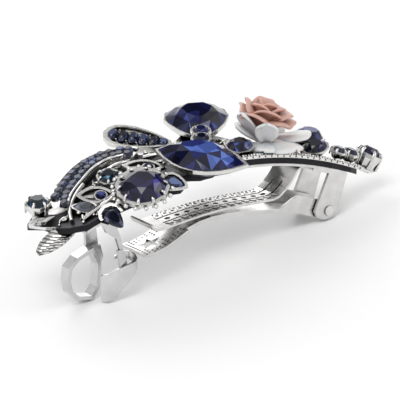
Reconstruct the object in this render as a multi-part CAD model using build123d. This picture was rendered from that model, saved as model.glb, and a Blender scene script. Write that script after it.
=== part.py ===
from build123d import *
import math
import os

# Rhinestone hair clip: an automatic steel clip carrying a cast, stone-set spray.
# Millimetres.  +X runs from the latch end to the hinge end, +Z up, -Y is the
# side with the marquise stone.  Everything is laid out in the clip's own
# "arch frame" (the base plate arches symmetrically about x = arch_x) and is
# turned by stand_tilt at the end so the clip stands on its latch and hinge ears.

# ---------------------------------------------------------------- dimensions
arch_x = 4.0            # x of the top of the arch
arch_z = 20.7           # height of the arch centre line of the steel plate
arch_k = 0.0063         # arch curvature, z = arch_z - arch_k (x - arch_x)^2
plate_w = 8.8           # steel base plate width
plate_t = 0.6           # steel base plate thickness
plate_x0, plate_x1 = -29.0, 34.4
back_t = 1.2            # cast backing thickness
pin_x, pin_z = 29.6, 7.6
pin_r = 0.75
pin_clear = 0.06
ear_t = 0.7
arm_w = 6.9
arm_t = 0.6
arm_tip_x = -15.9
spring_w = 7.6
spring_t = 0.45
slot_w = 0.42
strip_t = 0.75          # latch strip thickness
stand_tilt = 8.35       # degrees about Y that set the clip on its feet
pave_r = 1.05           # radius of the small set stones

# ---------------------------------------------------------------- helpers
def zc(x):
    return arch_z - arch_k * (x - arch_x) ** 2


def slope(x):
    return -2 * arch_k * (x - arch_x)


def vec(a, b):
    return (b[0] - a[0], b[1] - a[1], b[2] - a[2])


def unit(a):
    n = math.sqrt(sum(c * c for c in a))
    return tuple(c / n for c in a)


def cross(a, b):
    return (a[1] * b[2] - a[2] * b[1], a[2] * b[0] - a[0] * b[2], a[0] * b[1] - a[1] * b[0])


def frame(n, toward):
    """ez = n, ex = the part of `toward` square to n."""
    ez = unit(n)
    d = sum(p * q for p, q in zip(ez, toward))
    ex = unit(tuple(t - d * z for t, z in zip(toward, ez)))
    ey = cross(ez, ex)
    return ex, ey, ez


def place(o, fr, u, v, w):
    ex, ey, ez = fr
    return tuple(o[i] + u * ex[i] + v * ey[i] + w * ez[i] for i in range(3))


def stack(outline, levels, o, fr):
    """Faceted solid: similar outlines of scale s at heights w, joined by flats."""
    rings = [[place(o, fr, u * s, v * s, w) for u, v in outline] for w, s in levels]
    n = len(outline)
    faces = [Face(Wire.make_polygon([Vector(*p) for p in rings[0]], close=True)),
             Face(Wire.make_polygon([Vector(*p) for p in rings[-1]], close=True))]
    for a, b in zip(rings[:-1], rings[1:]):
        for i in range(n):
            j = (i + 1) % n
            faces.append(Face(Wire.make_polygon([Vector(*a[i]), Vector(*a[j]), Vector(*b[j]), Vector(*b[i])], close=True)))
    s = Solid(Shell(faces))
    if s.volume < 0:
        s = Solid(Shell([f for f in faces])).fix()
    return s


def ngon(n, r, ry=None, turn=0.0):
    ry = r if ry is None else ry
    return [(r * math.cos(2 * math.pi * i / n + turn), ry * math.sin(2 * math.pi * i / n + turn)) for i in range(n)]


def marquise(a, b, n=6):
    """Pointed oval of half-length a and half-width b."""
    pts = []
    for i in range(n):
        t = -1 + 2 * i / n
        pts.append((a * t, -b * (1 - abs(t) ** 2.1)))
    for i in range(n):
        t = 1 - 2 * i / n
        pts.append((a * t, b * (1 - abs(t) ** 2.1)))
    return pts


def pear(a, b, n=14):
    """Drop outline, point on +u, half-length a, half-width b."""
    pts = []
    for i in range(n):
        t = 2 * math.pi * i / n
        pts.append((a * math.cos(t), b * math.sin(t) * (1 - 0.42 * math.cos(t)) * 1.02))
    return pts


def gem(outline, o, fr, crown, pav, table=0.58):
    return stack(outline, [(-pav, 0.30), (-0.12 * pav, 1.0), (0.10 * crown, 1.0), (crown, table)], o, fr)


def cup(outline, o, fr, depth, rise, wall, size, foot=0.62, pav=1.0):
    """Bezel: a tapering cup with a pocket that leaves the stone a hair of room."""
    so = (size + wall) / size
    outer = stack(outline, [(-depth, so * foot), (-0.25 * depth, so), (rise, so)], o, fr)
    si = (size + 0.05) / size
    inner = stack(outline, [(-pav - 0.05, 0.35), (-0.12 * pav - 0.04, si), (rise + 1.0, si)], o, fr)
    return outer - inner


def strip(pts, t, y0, y1):
    """Sheet strip: polyline in x-z, thickness t, running from y0 to y1."""
    n = len(pts)
    def nrm(a, b):
        dx, dz = b[0] - a[0], b[1] - a[1]
        l = math.hypot(dx, dz)
        return (-dz / l, dx / l)
    off = []
    for i in range(n):
        if i == 0:
            m = nrm(pts[0], pts[1])
        elif i == n - 1:
            m = nrm(pts[-2], pts[-1])
        else:
            a, b = nrm(pts[i - 1], pts[i]), nrm(pts[i], pts[i + 1])
            m = ((a[0] + b[0]) / 2, (a[1] + b[1]) / 2)
            l2 = m[0] ** 2 + m[1] ** 2
            m = (m[0] / l2, m[1] / l2)
        off.append(m)
    up = [(p[0] + o[0] * t / 2, p[1] + o[1] * t / 2) for p, o in zip(pts, off)]
    dn = [(p[0] - o[0] * t / 2, p[1] - o[1] * t / 2) for p, o in zip(pts, off)]
    return prism_xz(up + dn[::-1], y0, y1)


def prism_xz(poly, y0, y1):
    f = Face(Wire.make_polygon([Vector(x, y0, z) for x, z in poly], close=True))
    return extrude(f, amount=y1 - y0, dir=(0, 1, 0))


def prism_xy(poly, z0, z1):
    f = Face(Wire.make_polygon([Vector(x, y, z0) for x, y in poly], close=True))
    return extrude(f, amount=z1 - z0, dir=(0, 0, 1))


def arch_slab(x0, x1, y0, y1, lo, hi, n=22):
    """Part of the arch between zc + lo and zc + hi."""
    xs = [x0 + (x1 - x0) * i / n for i in range(n + 1)]
    return prism_xz([(x, zc(x) + lo) for x in xs] + [(x, zc(x) + hi) for x in xs[::-1]], y0, y1)


def rod(a, b, r):
    d = vec(a, b)
    l = math.sqrt(sum(c * c for c in d))
    pl = Plane(origin=a, z_dir=d)
    return pl * Pos(0, 0, l / 2) * Cylinder(r, l)


def wire(points, r, closed=False):
    """Round wire as one swept solid."""
    path = Spline(*[Vector(*p) for p in points], periodic=closed)
    prof = Plane(origin=path @ 0, z_dir=path % 0) * Circle(r)
    return sweep(prof, path=path)


def ellipse_pts(o, fr, a, b, n=10):
    return [place(o, fr, a * math.cos(2 * math.pi * i / n), b * math.sin(2 * math.pi * i / n), 0) for i in range(n)]


def petal(o, along, up, length, width, t, curl):
    """Thin cupped petal: root at o, growing along `along`."""
    ex = unit(along)
    fr_up = unit(up)
    ey = unit(cross(fr_up, ex))
    ez = cross(ex, ey)
    rows = 6
    top, bot = [], []
    for i in range(rows + 1):
        s = i / rows
        w = width * (0.30 + 0.70 * math.sin(math.pi * min(1.0, 0.12 + 0.80 * s))) * (1.0 if s < 0.99 else 0.55)
        lift = curl * s * s
        row_t, row_b = [], []
        for k in (-1, -0.5, 0, 0.5, 1):
            h = lift + 0.16 * width * k * k
            row_t.append(tuple(o[i2] + ex[i2] * length * s + ey[i2] * w * k / 2 + ez[i2] * (h + t) for i2 in range(3)))
            row_b.append(tuple(o[i2] + ex[i2] * length * s + ey[i2] * w * k / 2 + ez[i2] * h for i2 in range(3)))
        top.append(row_t)
        bot.append(row_b)
    faces = []
    def quad(a, b, c, d):
        faces.append(Face(Wire.make_polygon([Vector(*a), Vector(*b), Vector(*c)], close=True)))
        faces.append(Face(Wire.make_polygon([Vector(*a), Vector(*c), Vector(*d)], close=True)))
    for i in range(rows):
        for k in range(4):
            quad(top[i][k], top[i][k + 1], top[i + 1][k + 1], top[i + 1][k])
            quad(bot[i][k], bot[i + 1][k], bot[i + 1][k + 1], bot[i][k + 1])
        quad(top[i][0], top[i + 1][0], bot[i + 1][0], bot[i][0])
        quad(top[i][4], bot[i][4], bot[i + 1][4], top[i + 1][4])
    for k in range(4):
        quad(top[0][k], bot[0][k], bot[0][k + 1], top[0][k + 1])
        quad(top[rows][k], top[rows][k + 1], bot[rows][k + 1], bot[rows][k])
    return Solid(Shell(faces))


nodes = {}


def add(name, *solids):
    out = []
    for s in solids:
        if isinstance(s, (list, tuple)):
            out.extend(s)
        else:
            out.append(s)
    nodes.setdefault(name, []).extend(out)


UPZ = (0, 0, 1)

# ================================================================ mechanism
hw = plate_w / 2

# base plate: arched strip with two hinge ears folded down
plate = arch_slab(plate_x0, plate_x1, -hw, hw, -plate_t / 2, plate_t / 2)
ear = [(29.9, zc(29.9)), (34.4, zc(34.4)), (31.9, 7.3), (31.2, 6.2), (29.9, 5.75), (28.2, 5.85), (26.6, 6.6), (26.0, 7.9)]
ear_near = prism_xz(ear, -hw, -hw + ear_t)
ear_far = prism_xz(ear, hw - ear_t, hw)
stiff = prism_xz([(25.4, zc(25.4) - 0.1), (30.3, zc(30.3) - 0.1), (30.3, zc(30.3) - 0.9), (25.4, zc(25.4) - 0.9)], -hw, -hw + ear_t)
stiff_f = prism_xz([(25.4, zc(25.4) - 0.1), (30.3, zc(30.3) - 0.1), (30.3, zc(30.3) - 0.9), (25.4, zc(25.4) - 0.9)], hw - ear_t, hw)
plate = plate + ear_near + ear_far + stiff + stiff_f
plate = plate - rod((pin_x, -10, pin_z), (pin_x, 10, pin_z), pin_r + 0.01)
riv_x, riv_y = 22.9, 0.0
lat_riv_x = -26.6
plate = plate - rod((riv_x, 1.8, 30), (riv_x, 1.8, 5), 0.80) - rod((riv_x, -1.8, 30), (riv_x, -1.8, 5), 0.80)
plate = plate - rod((lat_riv_x, 0, 30), (lat_riv_x, 0, 5), 0.92)
add("base_plate", plate)

# hinge pin, peened over outside both ears
pin = rod((pin_x, -hw - 0.35, pin_z), (pin_x, hw + 0.35, pin_z), pin_r)
head = Pos(pin_x, -hw - 0.19, pin_z) * Rot(90, 0, 0) * Cylinder(1.05, 0.34)
head2 = Pos(pin_x, hw + 0.19, pin_z) * Rot(90, 0, 0) * Cylinder(1.05, 0.34)
add("hinge_pin", pin + head + head2)

# clamp arm: arched bar, turned-down rims, perforated grip pad with a star window
arm_pts = [(arm_tip_x, 6.3), (-13.4, 6.6), (-11.0, 7.2), (-8.3, 8.4), (-5.6, 9.7), (-2.6, 10.6), (0.5, 11.0), (4.0, 11.05),
           (8.0, 10.75), (12.6, 10.2), (17.3, 9.6), (21.5, 8.8), (25.5, 7.75)]
ah = arm_w / 2
arm = strip(arm_pts, arm_t, -ah, ah)


def rim(pts, h, y0, y1):
    return prism_xz([(x, z - 0.15) for x, z in pts] + [(x, z - h) for x, z in pts[::-1]], y0, y1)


arm = arm + rim(arm_pts[3:], 0.46, -ah, -ah + 0.5) + rim(arm_pts[3:], 0.46, ah - 0.5, ah)
knuckle = [(17.5, 9.7), (20.4, 11.2), (22.4, 11.9), (24.2, 11.4), (27.8, 10.1), (30.4, 9.2), (31.3, 7.9), (30.9, 6.4), (29.6, 6.1), (26.6, 6.5), (21.5, 8.3), (17.5, 9.2)]
arm = arm + prism_xz(knuckle, -ah, -ah + 0.65) + prism_xz(knuckle, ah - 0.65, ah)
arm = arm - rod((pin_x, -10, pin_z), (pin_x, 10, pin_z), pin_r + pin_clear)
# tip lip and pad widening
pad = strip([(arm_tip_x, 6.3), (-13.4, 6.6), (-11.0, 7.2), (-8.3, 8.4), (-5.6, 9.7)], arm_t, -4.3, 4.3)
arm = arm + pad
star = []
for i in range(10):
    rr = 2.35 if i % 2 == 0 else 1.15
    star.append((-12.2 + rr * math.cos(math.pi * i / 5), rr * 0.95 * math.sin(math.pi * i / 5)))
arm = arm - prism_xy(star, 3, 12)
holes = []
for ix in range(11):
    for iy in range(-5, 5):
        hx = -15.35 + 0.92 * ix
        hy = 0.82 * iy + (0.41 if ix % 2 else 0.0) + 0.2
        lim = 3.95 if hx < -6.6 else 3.1
        if abs(hy) > lim or math.hypot(hx + 12.2, hy) < 2.75 or (hx > -9.2 and abs(hy) < 1.9):
            continue
        holes.append((hx, hy))
arm = arm - [Pos(hx, hy, 8) * Cylinder(0.22, 9) for hx, hy in holes]
add("clamp_arm", arm)

# tension spring: one strip, root riveted under the plate, three dimpled ribs
root = [(25.2, zc(25.2) - plate_t / 2 - spring_t / 2 - 0.02), (24.2, zc(24.2) - plate_t / 2 - spring_t / 2 - 0.02),
        (22.6, zc(22.6) - plate_t / 2 - spring_t / 2 - 0.02), (21.6, 17.2), (20.4, 15.5),
        (18.8, 13.9), (17.2, 12.7), (15.6, 12.25), (12.9, 12.3), (8.0, 12.45), (3.0, 12.4), (-2.0, 12.1), (-6.5, 11.6), (-9.8, 11.15), (-12.6, 10.9), (-13.6, 11.4), (-14.0, 12.2)]
sh = spring_w / 2
spring = strip(root, spring_t, -sh, sh)
rib = (spring_w - 2 * slot_w) / 3
for c in (-1, 1):
    yc = c * (rib / 2 + slot_w / 2)
    spring = spring - Pos((-9.8 + 19.6) / 2, yc, 14) * Box(29.4, slot_w, 8)
def spring_at(xx):
    for a, b in zip(root[:-1], root[1:]):
        if b[0] <= xx <= a[0]:
            return a[1] + (b[1] - a[1]) * (xx - a[0]) / (b[0] - a[0])


dimples = []
for i in range(11):
    xx = -7.9 + 2.35 * i
    dimples.append(Pos(xx, 0, spring_at(xx) + spring_t / 2 + 0.26) * Sphere(0.62))
for i in range(14):
    xx = -8.6 + 1.85 * i
    for yc in (-rib - slot_w, rib + slot_w):
        dimples.append(Pos(xx, yc, spring_at(xx) + spring_t / 2 + 0.12) * Sphere(0.38))
spring = spring - dimples
spring = spring - rod((riv_x, 1.8, 30), (riv_x, 1.8, 14), 0.72) - rod((riv_x, -1.8, 30), (riv_x, -1.8, 14), 0.72)
add("tension_spring", spring)

rivs = []
for yc in (1.8, -1.8):
    zz = zc(riv_x)
    shank = rod((riv_x, yc, zz + plate_t / 2), (riv_x, yc, zz - plate_t / 2 - spring_t - 0.1), 0.70)
    dome = Pos(riv_x, yc, zz - plate_t / 2 - spring_t - 0.25) * Sphere(0.95)
    dome = dome - Pos(riv_x, yc, zz - plate_t / 2 - spring_t - 0.25 + 1.15) * Box(4, 4, 2)
    rivs.append(shank + dome)
add("spring_rivets", rivs)

# latch: saddle riveted under the plate and two sprung wings
sz = zc(lat_riv_x) - plate_t / 2
sl = [(-28.6, zc(-28.6) - plate_t / 2 - 0.02), (-22.3, zc(-22.3) - plate_t / 2 - 0.02), (-22.3, zc(-22.3) - plate_t / 2 - 0.77), (-28.6, zc(-28.6) - plate_t / 2 - 0.77)]
saddle = prism_xz(sl, -2.85, 2.85) - rod((lat_riv_x, 0, 30), (lat_riv_x, 0, 5), 0.92)
add("latch_saddle", saddle)
lrz = zc(lat_riv_x)
lriv = rod((lat_riv_x, 0, lrz + plate_t / 2), (lat_riv_x, 0, lrz - plate_t / 2 - 0.9), 0.90)
ldome = Pos(lat_riv_x, 0, lrz - plate_t / 2 - 0.75) * Sphere(1.3)
ldome = ldome - Pos(lat_riv_x, 0, lrz - plate_t / 2 - 0.95 + 1.5) * Box(5, 5, 3)
add("latch_rivet", lriv + ldome)

# far wing: neck and closed finger loop
loop = [(-24.6, 7.9), (-27.9, 6.6), (-29.7, 4.9), (-30.1, 2.4), (-29.6, 0.1), (-28.0, -1.45), (-24.9, -1.9), (-23.5, 0.0), (-23.1, 2.6), (-23.1, 4.9)]
lc = (sum(p[0] for p in loop) / len(loop), sum(p[1] for p in loop) / len(loop))
def grow(poly, d):
    out = []
    n = len(poly)
    for i in range(n):
        a, b, c = poly[i - 1], poly[i], poly[(i + 1) % n]
        n1 = (b[1] - a[1], -(b[0] - a[0])); l1 = math.hypot(*n1); n1 = (n1[0] / l1, n1[1] / l1)
        n2 = (c[1] - b[1], -(c[0] - b[0])); l2 = math.hypot(*n2); n2 = (n2[0] / l2, n2[1] / l2)
        m = ((n1[0] + n2[0]) / 2, (n1[1] + n2[1]) / 2); q = m[0] ** 2 + m[1] ** 2
        m = (m[0] / q, m[1] / q)
        out.append((b[0] + m[0] * d, b[1] + m[1] * d))
    return out
ga, gb = grow(loop, strip_t / 2), grow(loop, -strip_t / 2)
area = lambda p: abs(sum(p[i - 1][0] * p[i][1] - p[i][0] * p[i - 1][1] for i in range(len(p))) / 2)
outer_l, inner_l = (ga, gb) if area(ga) > area(gb) else (gb, ga)
ring = prism_xz(outer_l, 1.1, 3.7) - prism_xz(inner_l, -5, 9)
wing_top = plate_t / 2 + 0.06
neck_far = prism_xz([(-25.5, zc(-25.5) - wing_top), (-23.2, zc(-23.2) - wing_top - 0.01), (-21.9, 6.0), (-22.7, 4.3), (-24.3, 7.7), (-25.0, 8.0), (-25.1, 11.0)], 3.0, 3.7)
web = prism_xz([(-25.0, 8.2), (-22.6, 8.6), (-21.9, 6.0), (-22.7, 4.3), (-23.4, 4.9), (-23.6, 6.9), (-24.6, 7.6)], 1.6, 3.7)
add("latch_wing_far", ring + neck_far + web)

# near wing: neck and scooped thumb band whose end hooks back under the arm
neck_near = prism_xz([(-25.5, zc(-25.5) - wing_top), (-22.8, zc(-22.8) - wing_top - 0.01), (-21.3, 11.2), (-20.7, 8.3), (-21.3, 8.1), (-22.2, 11.0), (-24.4, 12.6)], -3.7, -3.0)


def plan_band(path, t, zl, zh):
    """Upright band: plan polyline, thickness t, lower and upper edges by point."""
    n = len(path)
    left, right = [], []
    for i in range(n):
        a = path[max(i - 1, 0)]
        b = path[min(i + 1, n - 1)]
        dx, dy = b[0] - a[0], b[1] - a[1]
        l = math.hypot(dx, dy)
        nx, ny = -dy / l * t / 2, dx / l * t / 2
        left.append((path[i][0] + nx, path[i][1] + ny))
        right.append((path[i][0] - nx, path[i][1] - ny))
    faces = []
    def tri(*p):
        faces.append(Face(Wire.make_polygon([Vector(*q) for q in p], close=True)))
    def quad(a, b, c, d):
        tri(a, b, c)
        tri(a, c, d)
    P = lambda s, i, z: (s[i][0], s[i][1], z[i])
    for i in range(n - 1):
        quad(P(left, i, zh), P(left, i + 1, zh), P(right, i + 1, zh), P(right, i, zh))
        quad(P(left, i, zl), P(right, i, zl), P(right, i + 1, zl), P(left, i + 1, zl))
        quad(P(left, i, zl), P(left, i + 1, zl), P(left, i + 1, zh), P(left, i, zh))
        quad(P(right, i, zl), P(right, i, zh), P(right, i + 1, zh), P(right, i + 1, zl))
    for i in (0, n - 1):
        quad(P(left, i, zl), P(left, i, zh), P(right, i, zh), P(right, i, zl))
    return Solid(Shell(faces))


band_plan = [(-24.2, -1.1), (-23.2, -2.2), (-22.1, -3.2), (-20.9, -4.0), (-19.7, -4.5), (-18.7, -4.5), (-18.0, -3.9), (-17.8, -3.0), (-18.6, -2.2), (-19.9, -1.6), (-21.2, -1.2)]
band_lo = [-1.85, -2.05, -1.2, 0.9, 2.5, 3.7, 4.5, 5.3, 6.0, 6.2, 6.1]
band_hi = [3.2, 3.6, 4.6, 5.2, 5.7, 6.0, 6.4, 7.0, 7.6, 7.5, 6.6]
band = plan_band(band_plan, 0.7, band_lo, band_hi)
foot = prism_xz([(-21.9, 8.6), (-20.6, 8.5), (-19.9, 5.6), (-21.3, 4.7)], -3.9, -3.05)
add("latch_wing_near", band + neck_near + foot)

# ================================================================ ornament
LO = plate_t / 2 + 0.02          # underside of the cast backing above the arch line
HI = LO + back_t
outline = [(-33.0, 2.0), (-31.5, -1.5), (-29.0, -4.5), (-26.2, -4.7), (-26.0, -7.0), (-24.8, -8.0), (-23.4, -7.2), (-23.0, -5.2), (-20.5, -5.8), (-18.0, -6.6),
           (-15.6, -6.2), (-13.4, -4.8), (-12.6, -8.4), (-11.2, -9.4), (-9.9, -8.6), (-9.4, -5.4), (-7.0, -5.0), (-5.0, -7.2), (-2.0, -7.4),
           (0.6, -5.4), (3.0, -4.7), (8.0, -4.75), (20.0, -4.75), (30.0, -4.7), (36.0, -3.6), (38.6, -2.4), (39.6, 0.0), (38.6, 2.4),
           (36.0, 3.8), (30.0, 5.4), (22.0, 7.0), (17.0, 11.0), (15.5, 15.5), (13.0, 18.6), (8.5, 18.8), (5.0, 15.6), (2.0, 13.0), (-1.0, 11.6), (-6.0, 12.0), (-10.0, 16.0), (-15.0, 17.4), (-19.5, 16.6),
           (-24.0, 13.2), (-28.5, 10.0), (-32.0, 10.8), (-34.5, 9.0), (-33.0, 5.0)]
back = arch_slab(-36, 44, -14, 20, LO, HI, 30) & prism_xy(outline, -5, 40)
# open lace windows in the casting
for wx, wy, wr in [(-21.0, 2.6, 1.5), (-12.0, 7.2, 1.7), (-8.2, 4.6, 1.3), (-14.6, 13.0, 0.01), (26.0, 5.0, 0.9), (-2.0, 8.4, 1.2), (9.0, 9.4, 1.4), (12.5, 6.6, 1.2), (33.5, 0.0, 1.1), (-25.5, -1.6, 1.0), (-11.5, -4.2, 1.1)]:
    if wr > 0.1:
        back = back - Pos(wx, wy, 18) * Cylinder(wr, 16)
add("ornament_backing", back)


def on(x, y, h):
    return (x, y, zc(x) + HI + h)


def post(c, r, depth):
    """Solid post from a setting down onto the backing, trimmed to it."""
    x, y, z = c
    zb = zc(x) + HI - 0.6
    if z - zb < 0.05:
        return None
    return Pos(x, y, (z + zb) / 2) * Cylinder(r, z - zb)


pockets = []


def seat(name_set, name_stone, outline_, size, o, n, toward, crown, pav, depth, rise, wall, post_r, table=0.58, foot=0.62):
    fr = frame(n, toward)
    g = gem(outline_, o, fr, crown, pav, table)
    c = cup(outline_, o, fr, depth, rise, wall, size, foot, pav)
    pockets.append(stack(outline_, [(-pav - 0.06, 0.36), (-0.12 * pav - 0.05, (size + 0.06) / size), (1.5, (size + 0.06) / size)], o, fr))
    base = place(o, fr, 0, 0, -depth * 0.86)
    p = post(base, post_r, depth)
    if p is not None:
        so = (size + wall) / size
        solid_outer = stack(outline_, [(-depth, so * foot), (-0.25 * depth, so), (rise + 2.5, so * 1.0)], o, fr)
        c = c + (p - solid_outer)
    c = c - arch_slab(-40, 50, -20, 26, LO - 3, HI + 0.01, 30)
    add(name_set, c)
    add(name_stone, g)


VX, VY = -0.5485, -0.7834     # the tilted stones lean toward this side


def lean(deg):
    a = math.radians(deg)
    l = math.hypot(VX, VY)
    return (VX / l * math.sin(a), VY / l * math.sin(a), math.cos(a))


seat("marquise_setting", "marquise_crystal", marquise(8.8, 5.0, 8), 5.0, (-3.4, -5.3, zc(-3.4) + 4.3), lean(16), (0.60, -0.80, 0.0), 2.1, 2.1, 2.6, 0.12, 0.45, 2.0, 0.50)
seat("pear_setting", "pear_crystal", pear(6.2, 5.9), 5.9, (10.7, 16.3, zc(10.7) + 4.8), lean(15), (-0.45, -0.89, 0.0), 2.4, 2.6, 3.1, 0.12, 0.45, 1.8, 0.50)
seat("round_setting", "round_crystal", ngon(12, 4.5), 4.5, (-18.0, -6.6, zc(-18) + 3.8), lean(28), (0.8, -0.6, 0.0), 1.7, 1.9, 2.4, 0.2, 0.8, 1.8, 0.50)

# frill of beads round the large round stone
frr = frame(lean(28), (0.8, -0.6, 0.0))
beads = []
for i in range(18):
    t = 2 * math.pi * i / 18
    c = place((-18.0, -6.6, zc(-18) + 3.8), frr, 5.76 * math.cos(t), 5.76 * math.sin(t), -0.25)
    beads.append(Pos(*c) * Sphere(0.44))
add("round_frill_beads", beads)

seat("left_end_setting", "left_end_crystal", ngon(10, 2.1), 2.1, (-32.6, 8.2, zc(-32.6) + 4.8), lean(12), (0.8, -0.6, 0.0), 1.0, 1.5, 2.0, 0.1, 0.55, 1.2, 0.5)
seat("teal_setting", "teal_crystal", ngon(10, 1.95), 1.95, (-18.6, 4.6, zc(-18.6) + 3.4), lean(25), (0.8, -0.6, 0.0), 0.9, 1.3, 1.7, 0.1, 0.5, 1.1, 0.5)
seat("grey_pear_setting", "grey_pear_cabochon", pear(2.1, 1.3, 12), 1.3, (-26.5, 0.9, zc(-26.5) + 2.1), lean(20), (-0.75, 0.66, 0.0), 0.7, 0.6, 0.9, 0.1, 0.35, 0.8, 0.7)
seat("drop_settings", "drop_stones", pear(2.6, 1.65, 12), 1.65, (-24.6, -6.9, zc(-24.6) + 0.8), lean(46), (0.35, -0.60, -0.72), 0.5, 0.6, 0.9, 0.45, 0.55, 0.8, 0.7)
seat("drop_settings", "drop_stones", pear(2.1, 1.35, 12), 1.35, (-11.9, -8.6, zc(-11.9) + 2.5), lean(36), (0.55, -0.83, -0.3), 0.5, 0.6, 0.9, 0.45, 0.5, 0.8, 0.7)
seat("centre_settings", "centre_stones", ngon(10, 1.65), 1.65, (6.7, 9.3, zc(6.7) + 4.6), lean(16), (0.8, -0.6, 0.0), 0.8, 1.0, 1.6, 0.25, 0.5, 1.0, 0.5)
seat("centre_settings", "centre_stones", ngon(10, 1.65), 1.65, (4.1, 5.4, zc(4.1) + 4.2), lean(16), (0.8, -0.6, 0.0), 0.8, 1.0, 1.5, 0.25, 0.5, 1.0, 0.5)
seat("side_navy_setting", "side_navy_crystal", ngon(8, 2.6, 2.2), 2.2, (8.9, -1.1, zc(8.9) + 3.6), lean(22), (0.8, -0.6, 0.0), 1.2, 1.4, 1.7, 0.1, 0.4, 1.2, 0.5)
seat("right_oval_settings", "right_oval_crystals", ngon(10, 3.4, 2.5), 2.5, (28.9, 1.9, zc(28.9) + 5.6), (0.12, -0.25, 0.96), (0.98, 0.0, -0.2), 1.4, 1.6, 2.2, 0.15, 0.45, 1.4, 0.5)
seat("right_oval_settings", "right_oval_crystals", ngon(10, 2.6, 1.9), 1.9, (27.4, -2.3, zc(27.4) + 3.9), lean(22), (0.98, 0.0, -0.3), 1.1, 1.2, 1.5, 0.1, 0.4, 1.1, 0.5)
seat("tip_settings", "tip_stones", ngon(8, 1.45), 1.45, (35.1, -0.6, zc(35.1) + 4.2), (0.25, -0.2, 0.95), (0.9, -0.2, -0.3), 0.8, 1.0, 1.6, 0.1, 0.4, 0.8, 0.5)
seat("tip_settings", "tip_stones", ngon(8, 1.6), 1.6, (38.8, 0.0, zc(38.8) + 4.6), (0.25, -0.2, 0.95), (0.9, -0.2, -0.3), 0.8, 1.0, 1.8, 0.1, 0.4, 0.8, 0.5)
seat("tip_claw_cup", "tip_claw_stone", ngon(10, 2.45), 2.45, (44.2, 0.2, zc(44.2) + 6.0), (0.42, -0.12, 0.90), (0.9, 0.0, -0.42), 1.3, 1.5, 3.3, 0.1, 0.55, 1.1, 0.5, 0.7)
arm_cast = prism_xz([(39.0, zc(39.0) + HI + 0.02), (44.6, zc(44.6) + 4.1), (45.6, zc(45.6) + 3.6), (43.6, zc(43.6) + 1.8), (41.2, zc(41.2) + HI + 0.02)], -1.5, 1.7)
tc = stack(ngon(10, 2.45), [(-3.3, 0.87), (-0.8, 1.244), (2.0, 1.244)], (44.2, 0.2, zc(44.2) + 6.0), frame((0.42, -0.12, 0.90), (0.9, 0.0, -0.42)))
add("tip_bridge", (arm_cast - tc) - back)

# pave feather: curved cast tray with rows of small stones
feather_c = [(-29.6, 5.2), (-27.4, 8.0), (-24.4, 10.3), (-21.0, 12.4), (-17.4, 14.0), (-13.8, 14.3), (-10.6, 13.0), (-8.4, 10.4)]
fw = [2.1, 2.5, 2.7, 2.7, 2.6, 2.5, 2.2, 1.6]
left, right = [], []
for i in range(len(feather_c)):
    a = feather_c[max(i - 1, 0)]
    b = feather_c[min(i + 1, len(feather_c) - 1)]
    dx, dy = b[0] - a[0], b[1] - a[1]
    l = math.hypot(dx, dy)
    left.append((feather_c[i][0] - dy / l * fw[i], feather_c[i][1] + dx / l * fw[i]))
    right.append((feather_c[i][0] + dy / l * fw[i], feather_c[i][1] - dx / l * fw[i]))
tray_poly = left + right[::-1]
tray = arch_slab(-36, 0, 0, 22, HI + 0.02, HI + 1.5, 20) & prism_xy(tray_poly, 0, 40)
fst = []
rows = []
for i in range(len(feather_c) - 1):
    for f in (0.0, 0.5):
        x = feather_c[i][0] + (feather_c[i + 1][0] - feather_c[i][0]) * f
        y = feather_c[i][1] + (feather_c[i + 1][1] - feather_c[i][1]) * f
        a = feather_c[max(i - 1, 0)]; b = feather_c[min(i + 1, len(feather_c) - 1)]
        dx, dy = b[0] - a[0], b[1] - a[1]; l = math.hypot(dx, dy)
        nx, ny = -dy / l, dx / l
        rows.append((x, y, nx, ny))
for k, (x, y, nx, ny) in enumerate(rows):
    for s in (-1.15, 1.15):
        X, Y = x + nx * s, y + ny * s
        if math.hypot(X + 32.6, Y - 8.2) < 4.1:
            continue
        o = (X, Y, zc(X) + HI + 1.62)
        n = (-slope(X), 0.0, 1.0)
        fr = frame((-slope(X) * 1.0 - 0.08, -0.12, 1.0), (1, 0, 0))
        fst.append(gem(ngon(8, pave_r), o, fr, 0.55, 0.75, 0.55))
        tray = tray - stack(ngon(8, pave_r + 0.05), [(-0.85, 0.34), (-0.10, 1.0), (1.6, 1.0)], o, fr)
add("feather_tray", tray)
add("feather_stones", fst)
rim_in = [(p[0] * 0.06 + q[0] * 0.94, p[1] * 0.06 + q[1] * 0.94) for p, q in zip(left, right)]
rim_pts = [(x, y, zc(x) + HI + 1.5 + 0.30) for x, y in rim_in]
rim_out = [(p[0] * 0.94 + q[0] * 0.06, p[1] * 0.94 + q[1] * 0.06) for p, q in zip(left, right)]
rim_pts2 = [(x, y, zc(x) + HI + 1.5 + 0.30) for x, y in rim_out[2:]]
add("feather_edge_wire", wire(rim_pts, 0.28), wire(rim_pts2, 0.28))

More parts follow.
